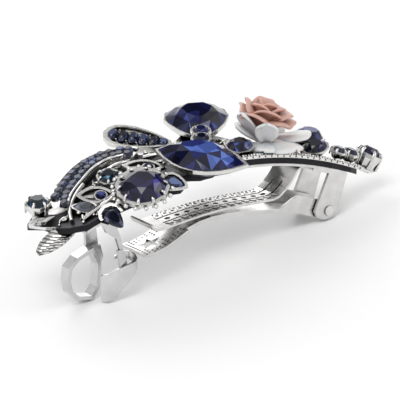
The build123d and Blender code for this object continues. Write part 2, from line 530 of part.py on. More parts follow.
# long petal loop: boat-shaped tray, raised on a stem
po = (-4.2, 16.2, zc(-4.2) + 3.5)
pfr = frame(lean(26), (0.62, -0.78, 0.02))
pet_out = pear(7.4, 3.0, 18)
pout = stack(pet_out, [(-1.9, 0.80), (-0.8, 1.0), (0.35, 1.0)], po, pfr)
pin_ = stack(pet_out, [(-1.2, 0.66), (-0.5, 0.86), (2.0, 0.86)], po, pfr)
ptray = pout - pin_
pst = []
for i in range(6):
    u = -5.3 + 2.16 * i
    o = place(po, pfr, u, 0, 0.05)
    pst.append(gem(ngon(8, (1.25, 1.25, 1.25, 1.2, 1.05, 0.8)[i]), o, pfr, 0.6, 0.7, 0.55))
pfloor = stack(pet_out, [(-1.19, 0.655), (-0.30, 0.80)], po, pfr)
for g_ in range(6):
    u = -5.3 + 2.16 * g_
    o = place(po, pfr, u, 0, 0.05)
    pfloor = pfloor - stack(ngon(8, (1.32, 1.32, 1.32, 1.27, 1.12, 0.87)[g_]), [(-0.78, 0.34), (-0.10, 1.0), (1.6, 1.0)], o, pfr)
add("petal_loop_tray", ptray)
add("petal_loop_floor", pfloor)
add("petal_loop_stones", pst)
pposts = []
for u in (3.6, 6.0):
    b = place(po, pfr, u, 0, -1.85)
    zb = zc(b[0]) + HI - 0.4
    pposts.append(Pos(b[0], b[1], (b[2] + zb + 0.6) / 2) * Cylinder(0.9, b[2] + 0.6 - zb))
pp = [(q - pout - back) for q in pposts]
add("petal_loop_posts", pp)

# leaves at the latch end
def leaf(root_, tip_, side, width, t, sag):
    ex = unit(vec(root_, tip_))
    L_ = math.sqrt(sum(c * c for c in vec(root_, tip_)))
    return petal(root_, vec(root_, tip_), side, L_, width, t, sag)


smooth = leaf((-28.2, 1.2, 13.3), (-35.4, 6.6, 12.6), (0.0, -0.25, 1.0), 4.4, 0.6, 0.3)
add("smooth_leaf", smooth)
engr = leaf((-29.2, 0.2, 13.3), (-37.3, 0.2, 9.7), (-0.3, -0.45, 0.9), 3.9, 0.6, -0.5)
add("engraved_leaf", engr)

# open marquise leaf frames, each with one small stone
def leaf_frame(o, n, toward, a, b, stone_u):
    fr = frame(n, toward)
    out = stack(marquise(a, b, 7), [(-0.45, 0.94), (0.45, 1.0)], o, fr)
    inn = stack(marquise(a - 1.0, b - 0.55, 7), [(-2.0, 1.0), (2.0, 1.0)], o, fr)
    ring_ = out - inn
    oc = place(o, fr, stone_u, 0, 0.15)
    g = gem(ngon(8, 1.05), oc, fr, 0.6, 0.8, 0.55)
    c = cup(ngon(8, 1.05), oc, fr, 1.2, 0.1, 0.35, 1.05, 0.6, 0.8)
    return ring_, c, g


for o, n, tw, a, b, su in [((-22.9, 2.3, zc(-22.9) + 2.1), lean(34), (0.85, -0.52, 0.0), 4.0, 2.1, 0.9),
                           ((-12.6, 1.2, zc(-12.6) + 3.6), lean(22), (0.78, -0.62, 0.0), 4.3, 2.0, 0.9)]:
    r_, c_, g_ = leaf_frame(o, n, tw, a, b, su)
    fr = frame(n, tw)
    sp = stack(ngon(8, 1.40), [(-1.2, 0.6), (-0.3, 1.0), (3.0, 1.0)], place(o, fr, su, 0, 0.15), fr)
    b_ = place(o, fr, su, 0, -0.95)
    p_ = post(b_, 0.8, 1.0)
    p_ = p_ - stack(ngon(8, 1.40), [(-1.2, 0.6), (-0.3, 1.0), (3.0, 1.0)], place(o, fr, su, 0, 0.15), fr)
    bar = stack(marquise(a - 0.75, 0.45, 7), [(-0.40, 1.0), (-0.05, 1.0)], o, fr)
    add("leaf_frames", ((r_ + bar) - sp - p_) - back)
    add("leaf_frame_cups", (c_ + p_) - back)
    add("leaf_frame_stones", g_)

# vines and scrolls: round wires lying on the casting
def hug(pts, r):
    return [(x, y, zc(x) + HI + r + h) for x, y, h in pts]


vines = [
    [(-30.2, -0.6, 0.0), (-28.6, 2.6, 0.5), (-26.0, 5.2, 0.9), (-22.6, 7.6, 1.0)],
    [(-29.0, -2.6, 0.0), (-25.6, -2.6, 0.2), (-22.6, -2.2, 0.3), (-20.6, -0.6, 0.2)],
    [(-16.0, 9.6, 0.2), (-13.6, 9.0, 0.9), (-11.0, 9.4, 0.5), (-9.6, 11.0, 0.1)],
    [(-15.8, 2.0, 0.1), (-14.6, -0.6, 0.2), (-12.0, -1.8, 0.1)],
    [(-7.4, 9.2, 0.1), (-4.6, 6.8, 0.6), (-1.6, 5.6, 0.2)],
    [(11.5, 3.4, 0.1), (15.2, 5.4, 0.3), (19.6, 5.2, 0.1)],
]
vw = []
for v in vines:
    vw.append(wire(hug(v, 0.42), 0.40) - back)
add("vine_scrolls", vw)

# silver gallery band along the near edge of the hinge half
gal = arch_slab(6.5, 39.0, -4.75, -4.10, HI + 0.02, HI + 0.62, 20)
gal = gal - [Pos(8.1 + 1.55 * i, -4.5, zc(8.1 + 1.55 * i) + HI + 0.36) * Rot(90, 0, 0) * Cylinder(0.19, 3) for i in range(20)]
add("gallery_band", gal)
gran = []
for i, (gx, gy, gr) in enumerate([(-28.0, 0.4, .5), (-20.0, 0.6, .55), (-21.8, -2.6, .5), (-13.4, -3.9, .5), (-9.2, 1.6, .5), (-10.6, 12.0, .55),
                                  (12.4, -3.2, .7), (14.0, -3.4, .5), (15.6, -3.2, .75), (17.2, -3.4, .5), (18.8, -3.2, .7), (20.4, -3.4, .55), (22.0, -3.2, .75), (23.6, -3.4, .55),
                                  (33.2, -2.9, .55), (36.0, -2.5, .5), (38.4, -2.2, .45), (-5.6, 11.2, .5), (1.0, 6.6, .5), (-17.0, 9.3, .5)]):
    gran.append(Pos(gx, gy, zc(gx) + HI + gr - 0.02) * Sphere(gr) - back)
add("granules", gran)

# flower: frosted petals round a post with the rose on top
fx, fy = 17.4, 1.0
fz = zc(fx) + HI
flo_post = Pos(fx, fy, fz + 2.7) * Cylinder(1.5, 5.8)
add("flower_post", flo_post)
pets = []
for ang, tilt_, ln, wd in [(-148, 62, 7.4, 5.6), (-95, 34, 6.6, 6.2), (-40, 16, 8.6, 6.4), (8, 12, 9.2, 6.4), (62, 20, 7.6, 6.0), (118, 28, 7.4, 6.0), (172, 30, 7.2, 6.2)]:
    A = math.radians(ang)
    T = math.radians(tilt_)
    d = (math.cos(A) * math.cos(T), math.sin(A) * math.cos(T), math.sin(T))
    up_ = (-math.cos(A) * math.sin(T), -math.sin(A) * math.sin(T), math.cos(T))
    o = (fx + 1.56 * math.cos(A), fy + 1.56 * math.sin(A), fz + 1.9 + 0.16 * len(pets))
    pets.append(petal(o, d, up_, ln - 1.5, wd, 0.45, 0.5))
trimmed = []
for i, p in enumerate(pets):
    q = p - flo_post
    for other in trimmed:
        q = q - other
    best = max(q.solids(), key=lambda s_: s_.volume)
    trimmed.append(best)
add("white_petals", trimmed)

rz = fz + 5.62
ros = []
ros.append(Pos(fx, fy, rz + 1.3) * Cone(2.3, 4.1, 2.6))
rp = []
for ring_r, count, hgt, rad, phase, flare in [(3.35, 5, 3.2, 0.42, 0.0, 1.9), (2.35, 4, 3.9, 0.40, 0.6, 1.1), (1.25, 3, 4.3, 0.36, 1.1, 0.4)]:
    for k in range(count):
        a0 = phase + 2 * math.pi * k / count
        span = 2 * math.pi / count * 0.92
        n_ = 6
        ins, outs = [], []
        lo_i, lo_o, hi_i, hi_o = [], [], [], []
        for j in range(n_ + 1):
            t = a0 + span * (j / n_ - 0.5)
            bump = math.sin(math.pi * j / n_)
            r0 = ring_r
            r1 = ring_r + flare * (0.45 + 0.55 * bump)
            zt = rz + hgt * (0.72 + 0.28 * bump)
            zb = rz + 1.6
            lo_i.append((fx + (r0 - rad) * math.cos(t), fy + (r0 - rad) * math.sin(t), zb))
            lo_o.append((fx + r0 * math.cos(t), fy + r0 * math.sin(t), zb))
            hi_i.append((fx + (r1 - rad) * math.cos(t), fy + (r1 - rad) * math.sin(t), zt))
            hi_o.append((fx + r1 * math.cos(t), fy + r1 * math.sin(t), zt))
        fs = []
        def tri(*p):
            fs.append(Face(Wire.make_polygon([Vector(*q_) for q_ in p], close=True)))
        def quad(a, b, c, d):
            tri(a, b, c)
            tri(a, c, d)
        for j in range(n_):
            quad(lo_i[j], lo_i[j + 1], lo_o[j + 1], lo_o[j])
            quad(hi_i[j], hi_o[j], hi_o[j + 1], hi_i[j + 1])
            quad(lo_i[j], hi_i[j], hi_i[j + 1], lo_i[j + 1])
            quad(lo_o[j], lo_o[j + 1], hi_o[j + 1], hi_o[j])
        quad(lo_i[0], lo_o[0], hi_o[0], hi_i[0])
        quad(lo_i[n_], hi_i[n_], hi_o[n_], lo_o[n_])
        rp.append(Solid(Shell(fs)))
rose = ros[0]
for p in rp:
    rose = rose + p
rose_all = rose.solids()
add("resin_rose", max(rose_all, key=lambda s_: s_.volume))

# solder pads joining casting and steel plate are the plate's top skin here
pads = []
for px_ in (-20.0, -6.0, 12.0, 27.0):
    pads.append(arch_slab(px_ - 1.6, px_ + 1.6, -1.6, 1.6, plate_t / 2, LO, 3))
add("solder_pads", pads)

# ================================================================ fitting
# each piece is filed to the ones it sits against
def file_to(victim, *cutters):
    out = []
    for a in nodes[victim]:
        ba = a.bounding_box()
        parts_ = [a]
        for c in cutters:
            for b in (c if isinstance(c, list) else nodes[c]):
                bb = b.bounding_box()
                if (ba.min.X > bb.max.X or bb.min.X > ba.max.X or ba.min.Y > bb.max.Y or bb.min.Y > ba.max.Y
                        or ba.min.Z > bb.max.Z or bb.min.Z > ba.max.Z):
                    continue
                nxt = []
                for p_ in parts_:
                    d_ = p_ - b
                    sol = d_.solids() if d_ is not None else []
                    if sol:
                        nxt.append(max(sol, key=lambda q: q.volume))
                parts_ = nxt
        out.extend([p_ for p_ in parts_ if p_.volume > 0.02])
    nodes[victim] = out


file_to("ornament_backing", pockets, "base_plate", "leaf_frame_stones", "grey_pear_cabochon", "drop_stones")
file_to("solder_pads", "ornament_backing", "base_plate")
file_to("spring_rivets", "ornament_backing", "tension_spring", "base_plate")
file_to("latch_saddle", "base_plate")
file_to("latch_rivet", "latch_saddle", "base_plate", "ornament_backing", "latch_wing_far", "latch_wing_near")
file_to("flower_post", "ornament_backing")
file_to("round_setting", pockets)
file_to("pear_setting", pockets)
file_to("marquise_setting", pockets)
file_to("centre_settings", pockets, "pear_setting", "marquise_setting")
file_to("round_frill_beads", "round_setting", pockets, "marquise_setting", "marquise_crystal", "ornament_backing")
file_to("drop_settings", pockets, "round_setting", "round_frill_beads", "marquise_setting")
file_to("side_navy_setting", pockets, "marquise_setting", "centre_settings")
file_to("feather_tray", pockets, "ornament_backing", "left_end_setting")
file_to("feather_edge_wire", "feather_stones", "feather_tray", "left_end_setting")
file_to("smooth_leaf", "ornament_backing", "base_plate", "left_end_setting", "left_end_crystal", "feather_tray", "latch_saddle")
file_to("engraved_leaf", "ornament_backing", "base_plate", "smooth_leaf", "latch_saddle")
file_to("petal_loop_tray", "petal_loop_stones", "ornament_backing")
file_to("petal_loop_floor", "petal_loop_tray", "petal_loop_stones", "ornament_backing")
file_to("petal_loop_posts", "ornament_backing", "petal_loop_tray", "petal_loop_floor", "feather_tray")
file_to("leaf_frames", pockets, "marquise_setting", "round_setting", "round_frill_beads", "teal_setting", "grey_pear_setting", "feather_tray", "leaf_frame_stones")
file_to("leaf_frame_cups", pockets, "leaf_frames", "marquise_setting", "round_setting", "leaf_frame_stones")
file_to("teal_setting", "feather_tray", "ornament_backing")
file_to("grey_pear_setting", "leaf_frames", "leaf_frame_cups", "feather_tray")
file_to("right_oval_settings", pockets, "ornament_backing")
file_to("tip_settings", pockets, "right_oval_settings", "ornament_backing")
file_to("tip_bridge", "tip_claw_cup", "tip_settings", "tip_claw_stone", pockets)
file_to("gallery_band", pockets, "right_oval_settings", "side_navy_setting", "marquise_setting", "tip_settings", "tip_bridge", "tip_claw_cup", "ornament_backing")
file_to("vine_scrolls", pockets, "ornament_backing", "feather_tray", "feather_edge_wire", "leaf_frame_cups", "leaf_frames", "teal_setting", "grey_pear_setting", "round_setting",
        "round_frill_beads", "marquise_setting", "petal_loop_posts", "centre_settings", "flower_post", "petal_loop_tray")
file_to("granules", "leaf_frames", "vine_scrolls", pockets, "ornament_backing", "round_setting", "round_frill_beads", "marquise_setting", "leaf_frame_cups", "gallery_band", "side_navy_setting",
        "flower_post", "right_oval_settings", "tip_settings", "drop_settings", "petal_loop_posts", "centre_settings", "grey_pear_setting", "teal_setting", "feather_tray", "feather_stones", "leaf_frame_stones", "tip_bridge", "tip_claw_cup")
file_to("white_petals", "flower_post", "resin_rose", "side_navy_setting", "side_navy_crystal", "right_oval_settings", "right_oval_crystals", "gallery_band", "granules", "pear_setting", "vine_scrolls")

# ================================================================ export
turn = Rot(0, stand_tilt, 0)
low = 1e9
placed = {}
for k, v in nodes.items():
    solids = []
    for s in v:
        for q in (turn * s).solids():
            solids.append(q)
    placed[k] = solids
zmin, zs = 1e9, {}
xs, ys = [], []
for k, v in placed.items():
    for q in v:
        b = q.bounding_box()
        zs[k] = min(zs.get(k, 1e9), b.min.Z)
        zmin = min(zmin, b.min.Z)
        xs += [b.min.X, b.max.X]
        ys += [b.min.Y, b.max.Y]
cx, cy = (min(xs) + max(xs)) / 2, (min(ys) + max(ys)) / 2
os.makedirs("parts", exist_ok=True)
count = 0
for k, v in placed.items():
    moved = [Pos(-cx, -cy, -zmin) * q for q in v if q.volume > 1e-4]
    count += len(moved)
    c = Compound(children=[m for m in moved]) if len(moved) > 1 else moved[0]
    export_step(c, f"parts/{k}.step")
print("nodes", len(placed), "solids", count, "shift", round(-cx, 3), round(-cy, 3), round(-zmin, 3))
print("low", sorted((round(z - zmin, 2), k) for k, z in zs.items())[:6])
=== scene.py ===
import bpy, bmesh, math, random
from mathutils import Vector, Matrix


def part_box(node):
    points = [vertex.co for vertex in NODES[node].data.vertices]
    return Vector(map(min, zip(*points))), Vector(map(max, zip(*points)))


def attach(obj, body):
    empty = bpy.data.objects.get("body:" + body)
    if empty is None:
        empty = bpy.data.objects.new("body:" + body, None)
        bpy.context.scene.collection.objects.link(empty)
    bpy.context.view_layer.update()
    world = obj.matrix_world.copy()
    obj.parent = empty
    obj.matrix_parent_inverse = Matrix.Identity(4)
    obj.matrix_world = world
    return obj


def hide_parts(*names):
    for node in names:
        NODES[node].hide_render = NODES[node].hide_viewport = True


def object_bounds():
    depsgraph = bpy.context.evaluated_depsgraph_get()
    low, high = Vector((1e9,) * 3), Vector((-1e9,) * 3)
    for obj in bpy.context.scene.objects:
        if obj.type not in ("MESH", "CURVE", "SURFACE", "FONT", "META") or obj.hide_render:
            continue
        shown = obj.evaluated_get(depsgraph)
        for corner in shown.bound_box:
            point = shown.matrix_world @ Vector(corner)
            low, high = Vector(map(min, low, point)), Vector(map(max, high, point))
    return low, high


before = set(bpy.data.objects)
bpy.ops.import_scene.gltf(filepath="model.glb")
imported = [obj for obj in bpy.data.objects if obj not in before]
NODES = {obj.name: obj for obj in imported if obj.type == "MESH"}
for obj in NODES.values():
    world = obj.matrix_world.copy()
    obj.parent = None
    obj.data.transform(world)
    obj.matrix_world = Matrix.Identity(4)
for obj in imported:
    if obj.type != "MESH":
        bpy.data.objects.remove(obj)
CAD_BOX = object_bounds()
TILT = math.radians(8.35)

# ------------------------------------------------------------------ arch frame
_lo, _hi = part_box("hinge_pin")
_c = [(a + b) / 2 * 1000 for a, b in zip(_lo, _hi)]
_p = (29.6 * math.cos(TILT) + 7.6 * math.sin(TILT), 0.0, -29.6 * math.sin(TILT) + 7.6 * math.cos(TILT))
SHIFT = tuple(c - p for c, p in zip(_c, _p))


def A(p):
    """Point in the clip's own arch frame (mm) to the shared frame (m)."""
    x, y, z = p
    return Vector(((x * math.cos(TILT) + z * math.sin(TILT) + SHIFT[0]) / 1000, (y + SHIFT[1]) / 1000,
                   (-x * math.sin(TILT) + z * math.cos(TILT) + SHIFT[2]) / 1000))


def AV(v):
    x, y, z = v
    return Vector((x * math.cos(TILT) + z * math.sin(TILT), y, -x * math.sin(TILT) + z * math.cos(TILT)))


def zc(x):
    return 20.7 - 0.0063 * (x - 4.0) ** 2


HI = 0.3 + 0.02 + 1.2


# ------------------------------------------------------------------ node helpers
def new_mat(name):
    m = bpy.data.materials.new(name)
    m.use_nodes = True
    nt = m.node_tree
    for n in list(nt.nodes):
        nt.nodes.remove(n)
    out = nt.nodes.new("ShaderNodeOutputMaterial")
    b = nt.nodes.new("ShaderNodeBsdfPrincipled")
    nt.links.new(b.outputs[0], out.inputs[0])
    return m, nt, b


def N(nt, t, **kw):
    n = nt.nodes.new(t)
    for k, v in kw.items():
        if k.startswith("i_"):
            key = k[2:]
            n.inputs[int(key) if key.isdigit() else key].default_value = v
        else:
            setattr(n, k, v)
    return n


def ramp(nt, fac, stops, interp="LINEAR"):
    r = nt.nodes.new("ShaderNodeValToRGB")
    r.color_ramp.interpolation = interp
    e = r.color_ramp.elements
    while len(e) > 1:
        e.remove(e[-1])
    e[0].position, e[0].color = stops[0][0], stops[0][1]
    for p, c in stops[1:]:
        x = e.new(p)
        x.color = c
    nt.links.new(fac, r.inputs[0])
    return r.outputs[0]


def g(v, a=1.0):
    return (v, v, v, a)


def coords(nt, scale=1.0):
    tc = nt.nodes.new("ShaderNodeTexCoord")
    mp = nt.nodes.new("ShaderNodeMapping")
    mp.inputs["Scale"].default_value = (scale,) * 3 if not isinstance(scale, tuple) else scale
    nt.links.new(tc.outputs["Object"], mp.inputs[0])
    return mp.outputs[0]


def noise(nt, vec, scale, detail=4.0, rough=0.55):
    n = nt.nodes.new("ShaderNodeTexNoise")
    n.inputs["Scale"].default_value = scale
    n.inputs["Detail"].default_value = detail
    n.inputs["Roughness"].default_value = rough
    nt.links.new(vec, n.inputs["Vector"])
    return n.outputs[0]


def bump(nt, b, height, strength, dist, bevel=0.0):
    bp = nt.nodes.new("ShaderNodeBump")
    bp.inputs["Strength"].default_value = strength
    bp.inputs["Distance"].default_value = dist
    nt.links.new(height, bp.inputs["Height"])
    if bevel:
        bv = nt.nodes.new("ShaderNodeBevel")
        bv.samples = 4
        bv.inputs["Radius"].default_value = bevel
        nt.links.new(bv.outputs[0], bp.inputs["Normal"])
    nt.links.new(bp.outputs[0], b.inputs["Normal"])
    return bp


def mixc(nt, fac, a, b_):
    m = nt.nodes.new("ShaderNodeMix")
    m.data_type = "RGBA"
    if hasattr(fac, "links") or hasattr(fac, "is_linked"):
        nt.links.new(fac, m.inputs[0])
    else:
        m.inputs[0].default_value = fac
    for s, v in ((6, a), (7, b_)):
        if isinstance(v, tuple):
            m.inputs[s].default_value = v
        else:
            nt.links.new(v, m.inputs[s])
    return m.outputs[2]


def metal_material(name, light, shade_and_patina_col, rough0, rough1, grain=(60, 60, 60), bump_s=0.12, recess=0.0, bevel=0.00012, recess_d=0.0012, recess_lo=0.30, recess_hi=0.80):
    """Plated metal: fine streaks in colour and roughness, darkened in recesses by AO as painted shade (on the
    antique cast the same dark also stands for blackened patina).
    """
    m, nt, b = new_mat(name)
    v = coords(nt, grain)
    n1 = noise(nt, v, 22.0, 5.0, 0.6)
    n2 = noise(nt, coords(nt, 1.0), 420.0, 3.0, 0.5)
    col = ramp(nt, n1, [(0.30, (*[c * 0.90 for c in light], 1)), (0.62, (*light, 1))])
    wear = ramp(nt, n2, [(0.35, g(0.0)), (0.70, g(1.0))])
    col = mixc(nt, wear, (*[c * 0.82 for c in light], 1), col)
    if recess:
        # painted shade: AO mixes occluded slots, gaps and recesses toward the dark shade colour
        ao = nt.nodes.new("ShaderNodeAmbientOcclusion")
        ao.samples = 6
        ao.inputs["Distance"].default_value = recess_d
        k = ramp(nt, ao.outputs["AO"], [(recess_lo, g(0.0)), (recess_hi, g(1.0))])
        col = mixc(nt, k, (*shade_and_patina_col, 1), col)
    nt.links.new(col, b.inputs["Base Color"])
    b.inputs["Metallic"].default_value = 1.0
    r = ramp(nt, n1, [(0.25, g(rough0)), (0.75, g(rough1))])
    nt.links.new(r, b.inputs["Roughness"])
    bump(nt, b, n1, bump_s, 0.00006, bevel)
    return m


# the dark colour of each metal is painted shade in its recesses; for the antique cast it is also blackened patina
STEEL = metal_material("steel_strip", (0.78, 0.77, 0.76), (0.05, 0.05, 0.05), 0.16, 0.30, (14, 420, 420), 0.10, 0.6, recess_d=0.0010)
LATCH = metal_material("latch_steel", (0.70, 0.70, 0.705), (0.03, 0.03, 0.03), 0.10, 0.26, (300, 60, 300), 0.12, 0.5, recess_d=0.0008)
PLATED = metal_material("bright_plate", (0.86, 0.86, 0.86), (0.05, 0.05, 0.05), 0.07, 0.16, (120, 120, 120), 0.05, 0.4, recess_d=0.0008)
CAST = metal_material("antique_silver", (0.82, 0.81, 0.79), (0.030, 0.028, 0.026), 0.10, 0.28, (260, 260, 260), 0.35, 1.0, recess_d=0.0016)
# painted shade: near-black material standing for the shaded gap under the ornament
BLACK_SHADE_CAST = metal_material("backing_painted_shade", (0.030, 0.030, 0.034), (0.004, 0.004, 0.005), 0.28, 0.50, (200, 200, 200), 0.25, 0.6)


def engraved_material():
    m, nt, b = new_mat("engraved_silver")
    v = coords(nt, 1.0)
    w = nt.nodes.new("ShaderNodeTexWave")
    w.wave_type = "BANDS"
    w.bands_direction = "DIAGONAL"
    w.inputs["Scale"].default_value = 520.0
    w.inputs["Distortion"].default_value = 3.0
    w.inputs["Detail"].default_value = 3.0
    w.inputs["Detail Scale"].default_value = 1.6
    nt.links.new(v, w.inputs["Vector"])
    n2 = noise(nt, v, 700.0, 4.0, 0.6)
    col = ramp(nt, w.outputs["Fac"], [(0.06, (0.16, 0.155, 0.15, 1)), (0.30, (0.62, 0.61, 0.59, 1)), (0.9, (0.82, 0.81, 0.79, 1))])
    k = ramp(nt, n2, [(0.35, g(0.35)), (0.6, g(1.0))])
    mm = nt.nodes.new("ShaderNodeMix"); mm.data_type = "RGBA"; mm.blend_type = "MULTIPLY"; mm.inputs[0].default_value = 0.7
    nt.links.new(col, mm.inputs[6]); nt.links.new(k, mm.inputs[7])
    nt.links.new(mm.outputs[2], b.inputs["Base Color"])
    b.inputs["Metallic"].default_value = 1.0
    b.inputs["Roughness"].default_value = 0.24
    bump(nt, b, w.outputs["Fac"], 0.45, 0.00012, 0.00012)
    return m


ENGRAVED = engraved_material()


def gem_material(name, deep, mid, reflection_col, seed=0.0, cell=430.0):
    """Foiled faceted glass.  The facet attribute paints a reflection brightness into each facet's colour;
    a crisp cell pattern is painted reflection standing for the pavilion facets seen through the crown."""
    m, nt, b = new_mat(name)
    at = nt.nodes.new("ShaderNodeAttribute")
    at.attribute_name = "facet"
    v = coords(nt, 1.0)
    vo = nt.nodes.new("ShaderNodeTexVoronoi")
    vo.feature = "F1"
    vo.distance = "CHEBYCHEV"
    vo.inputs["Scale"].default_value = cell
    vo.inputs["Randomness"].default_value = 0.75
    nt.links.new(v, vo.inputs["Vector"])
    sep = nt.nodes.new("ShaderNodeSeparateColor")
    nt.links.new(vo.outputs["Color"], sep.inputs[0])
    mth = nt.nodes.new("ShaderNodeMath"); mth.operation = "MULTIPLY_ADD"
    nt.links.new(sep.outputs[0], mth.inputs[0]); mth.inputs[1].default_value = 0.30
    nt.links.new(at.outputs["Fac"], mth.inputs[2])
    # painted reflection: facet value plus cell pattern picks dark to bright reflection colours
    col = ramp(nt, mth.outputs[0], [(0.0, (*[c * 0.25 for c in deep], 1)), (0.34, (*deep, 1)), (0.62, (*mid, 1)), (0.86, (*reflection_col, 1)), (1.0, (*reflection_col, 1))])
    nt.links.new(col, b.inputs["Base Color"])
    b.inputs["Metallic"].default_value = 0.0
    b.inputs["Roughness"].default_value = 0.05
    b.inputs["IOR"].default_value = 1.5
    b.inputs["Specular IOR Level"].default_value = 0.42
    b.inputs["Coat Weight"].default_value = 0.15
    b.inputs["Coat Roughness"].default_value = 0.02
    b.inputs["Coat IOR"].default_value = 1.5
    return m


NAVY = gem_material("navy_glass", (0.004, 0.005, 0.022), (0.012, 0.016, 0.085), (0.06, 0.09, 0.34))
SAPPH = gem_material("sapphire_glass", (0.005, 0.006, 0.026), (0.016, 0.022, 0.13), (0.11, 0.19, 0.56), cell=300.0)
VIOLET = gem_material("violet_navy_glass", (0.005, 0.004, 0.026), (0.020, 0.015, 0.098), (0.090, 0.078, 0.35))
SMOKE = gem_material("smoky_navy_glass", (0.006, 0.008, 0.022), (0.024, 0.032, 0.085), (0.11, 0.15, 0.30))
TEAL = gem_material("teal_glass", (0.003, 0.009, 0.018), (0.006, 0.045, 0.10), (0.03, 0.20, 0.34))
GREYG = gem_material("grey_cabochon_glass", (0.14, 0.15, 0.19), (0.26, 0.27, 0.33), (0.45, 0.46, 0.52), cell=90.0)


def soft_material(name, base, deep, rough, sss, scale, coat=0.0, trans=0.0, bump_s=0.12):
    m, nt, b = new_mat(name)
    v = coords(nt, 1.0)
    n1 = noise(nt, v, scale, 5.0, 0.55)
    n2 = noise(nt, v, scale * 9, 3.0, 0.5)
    # painted shade: AO darkens creases and tucks between petals toward the deep colour
    ao = nt.nodes.new("ShaderNodeAmbientOcclusion")
    ao.samples = 6
    ao.inputs["Distance"].default_value = 0.0022
    k = ramp(nt, ao.outputs["AO"], [(0.25, g(0.0)), (0.85, g(1.0))])
    c = ramp(nt, n1, [(0.3, (*[x * 0.93 for x in base], 1)), (0.7, (*base, 1))])
    c = mixc(nt, k, (*deep, 1), c)
    nt.links.new(c, b.inputs["Base Color"])
    r = ramp(nt, n2, [(0.3, g(rough * 0.85)), (0.7, g(min(1.0, rough * 1.15)))])
    nt.links.new(r, b.inputs["Roughness"])
    b.inputs["Subsurface Weight"].default_value = sss
    b.inputs["Subsurface Radius"].default_value = (1.0, 0.55, 0.4)
    b.inputs["Subsurface Scale"].default_value = 0.0012
    b.inputs["Coat Weight"].default_value = coat
    b.inputs["Coat Roughness"].default_value = 0.25
    b.inputs["Transmission Weight"].default_value = trans
    bump(nt, b, n2, bump_s, 0.00004)
    return m


ROSE = soft_material("rose_resin", (0.62, 0.385, 0.325), (0.50, 0.27, 0.21), 0.50, 0.30, 160.0)
PETAL = soft_material("frosted_petal", (0.74, 0.745, 0.75), (0.46, 0.465, 0.48), 0.34, 0.45, 120.0, coat=0.2)


def assign(node, mat):
    o = NODES[node]
    o.data.materials.clear()
    o.data.materials.append(mat)


for n in ("base_plate", "clamp_arm", "tension_spring"):
    assign(n, STEEL)
for n in ("latch_saddle", "latch_wing_far", "latch_wing_near"):
    assign(n, LATCH)
for n in ("hinge_pin", "spring_rivets", "latch_rivet"):
    assign(n, PLATED)
# painted shade: backing and pads are near-black for the shadowed gap under the ornament
for n in ("solder_pads", "ornament_backing"):
    assign(n, BLACK_SHADE_CAST)
assign("petal_loop_floor", CAST)
for n in NODES:
    if n.endswith(("_setting", "_settings", "_cup", "_cups", "_tray", "_wire", "_beads", "_bridge", "_posts", "_post", "_band", "_frames", "_scrolls")) or n == "granules":
        assign(n, CAST)
assign("smooth_leaf", PLATED)
assign("engraved_leaf", ENGRAVED)
for n in NODES:
    if n.endswith(("_crystal", "_crystals", "_stone", "_stones")):
        assign(n, NAVY)
for n in ("teal_crystal", "left_end_crystal"):
    assign(n, TEAL)
assign("grey_pear_cabochon", GREYG)
assign("resin_rose", ROSE)
assign("white_petals", PETAL)

#PIECES_BEGIN
# ------------------------------------------------------------------ mesh helpers
VX, VY = -0.5485, -0.7834


def lean(deg):
    a = math.radians(deg)
    l = math.hypot(VX, VY)
    return (VX / l * math.sin(a), VY / l * math.sin(a), math.cos(a))


def basis(n, toward):
    ez = Vector(n).normalized()
    t = Vector(toward)
    ex = (t - ez * t.dot(ez)).normalized()
    return ex, ez.cross(ex), ez


def link(name, me, mat, body="clip_frame", smooth=False):
    o = bpy.data.objects.new(name, me)
    bpy.context.collection.objects.link(o)
    me.materials.append(mat)
    if smooth:
        for p in me.polygons:
            p.use_smooth = True
    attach(o, body)
    return o


def rnd_outline(R, Ry=None):
    Ry = R if Ry is None else Ry
    return lambda t: (R * math.cos(t), Ry * math.sin(t))


def marq_outline(a, b):
    def f(t):
        c = math.cos(t)
        s = 1 if math.sin(t) >= 0 else -1
        return (a * c, s * b * (1 - abs(c) ** 2.1))
    return f


def pear_outline(a, b):
    return lambda t: (a * math.cos(t), b * math.sin(t) * (1 - 0.42 * math.cos(t)) * 1.02)


def gem_points(out, o, fr, crown, pav, table=0.56, n=8, phase=0.0):
    ex, ey, ez = fr
    O = Vector(o)
    def P(t, s, w):
        u_, v_ = out(t)
        return O + ex * (u_ * s) + ey * (v_ * s) + ez * w
    pts = []
    for k in range(n):
        t = 2 * math.pi * k / n + phase
        pts.append(P(t + math.pi / n, table, crown))
        pts.append(P(t, table + 0.24, 0.66 * crown))
        pts.append(P(t, 0.52, -0.55 * pav))
    for k in range(4 * n):
        t = 2 * math.pi * k / (4 * n) + phase
        pts.append(P(t, 1.0, 0.07 * crown))
        pts.append(P(t, 1.0, -0.07 * pav))
    pts.append(P(0, 0.0, -pav))
    return pts


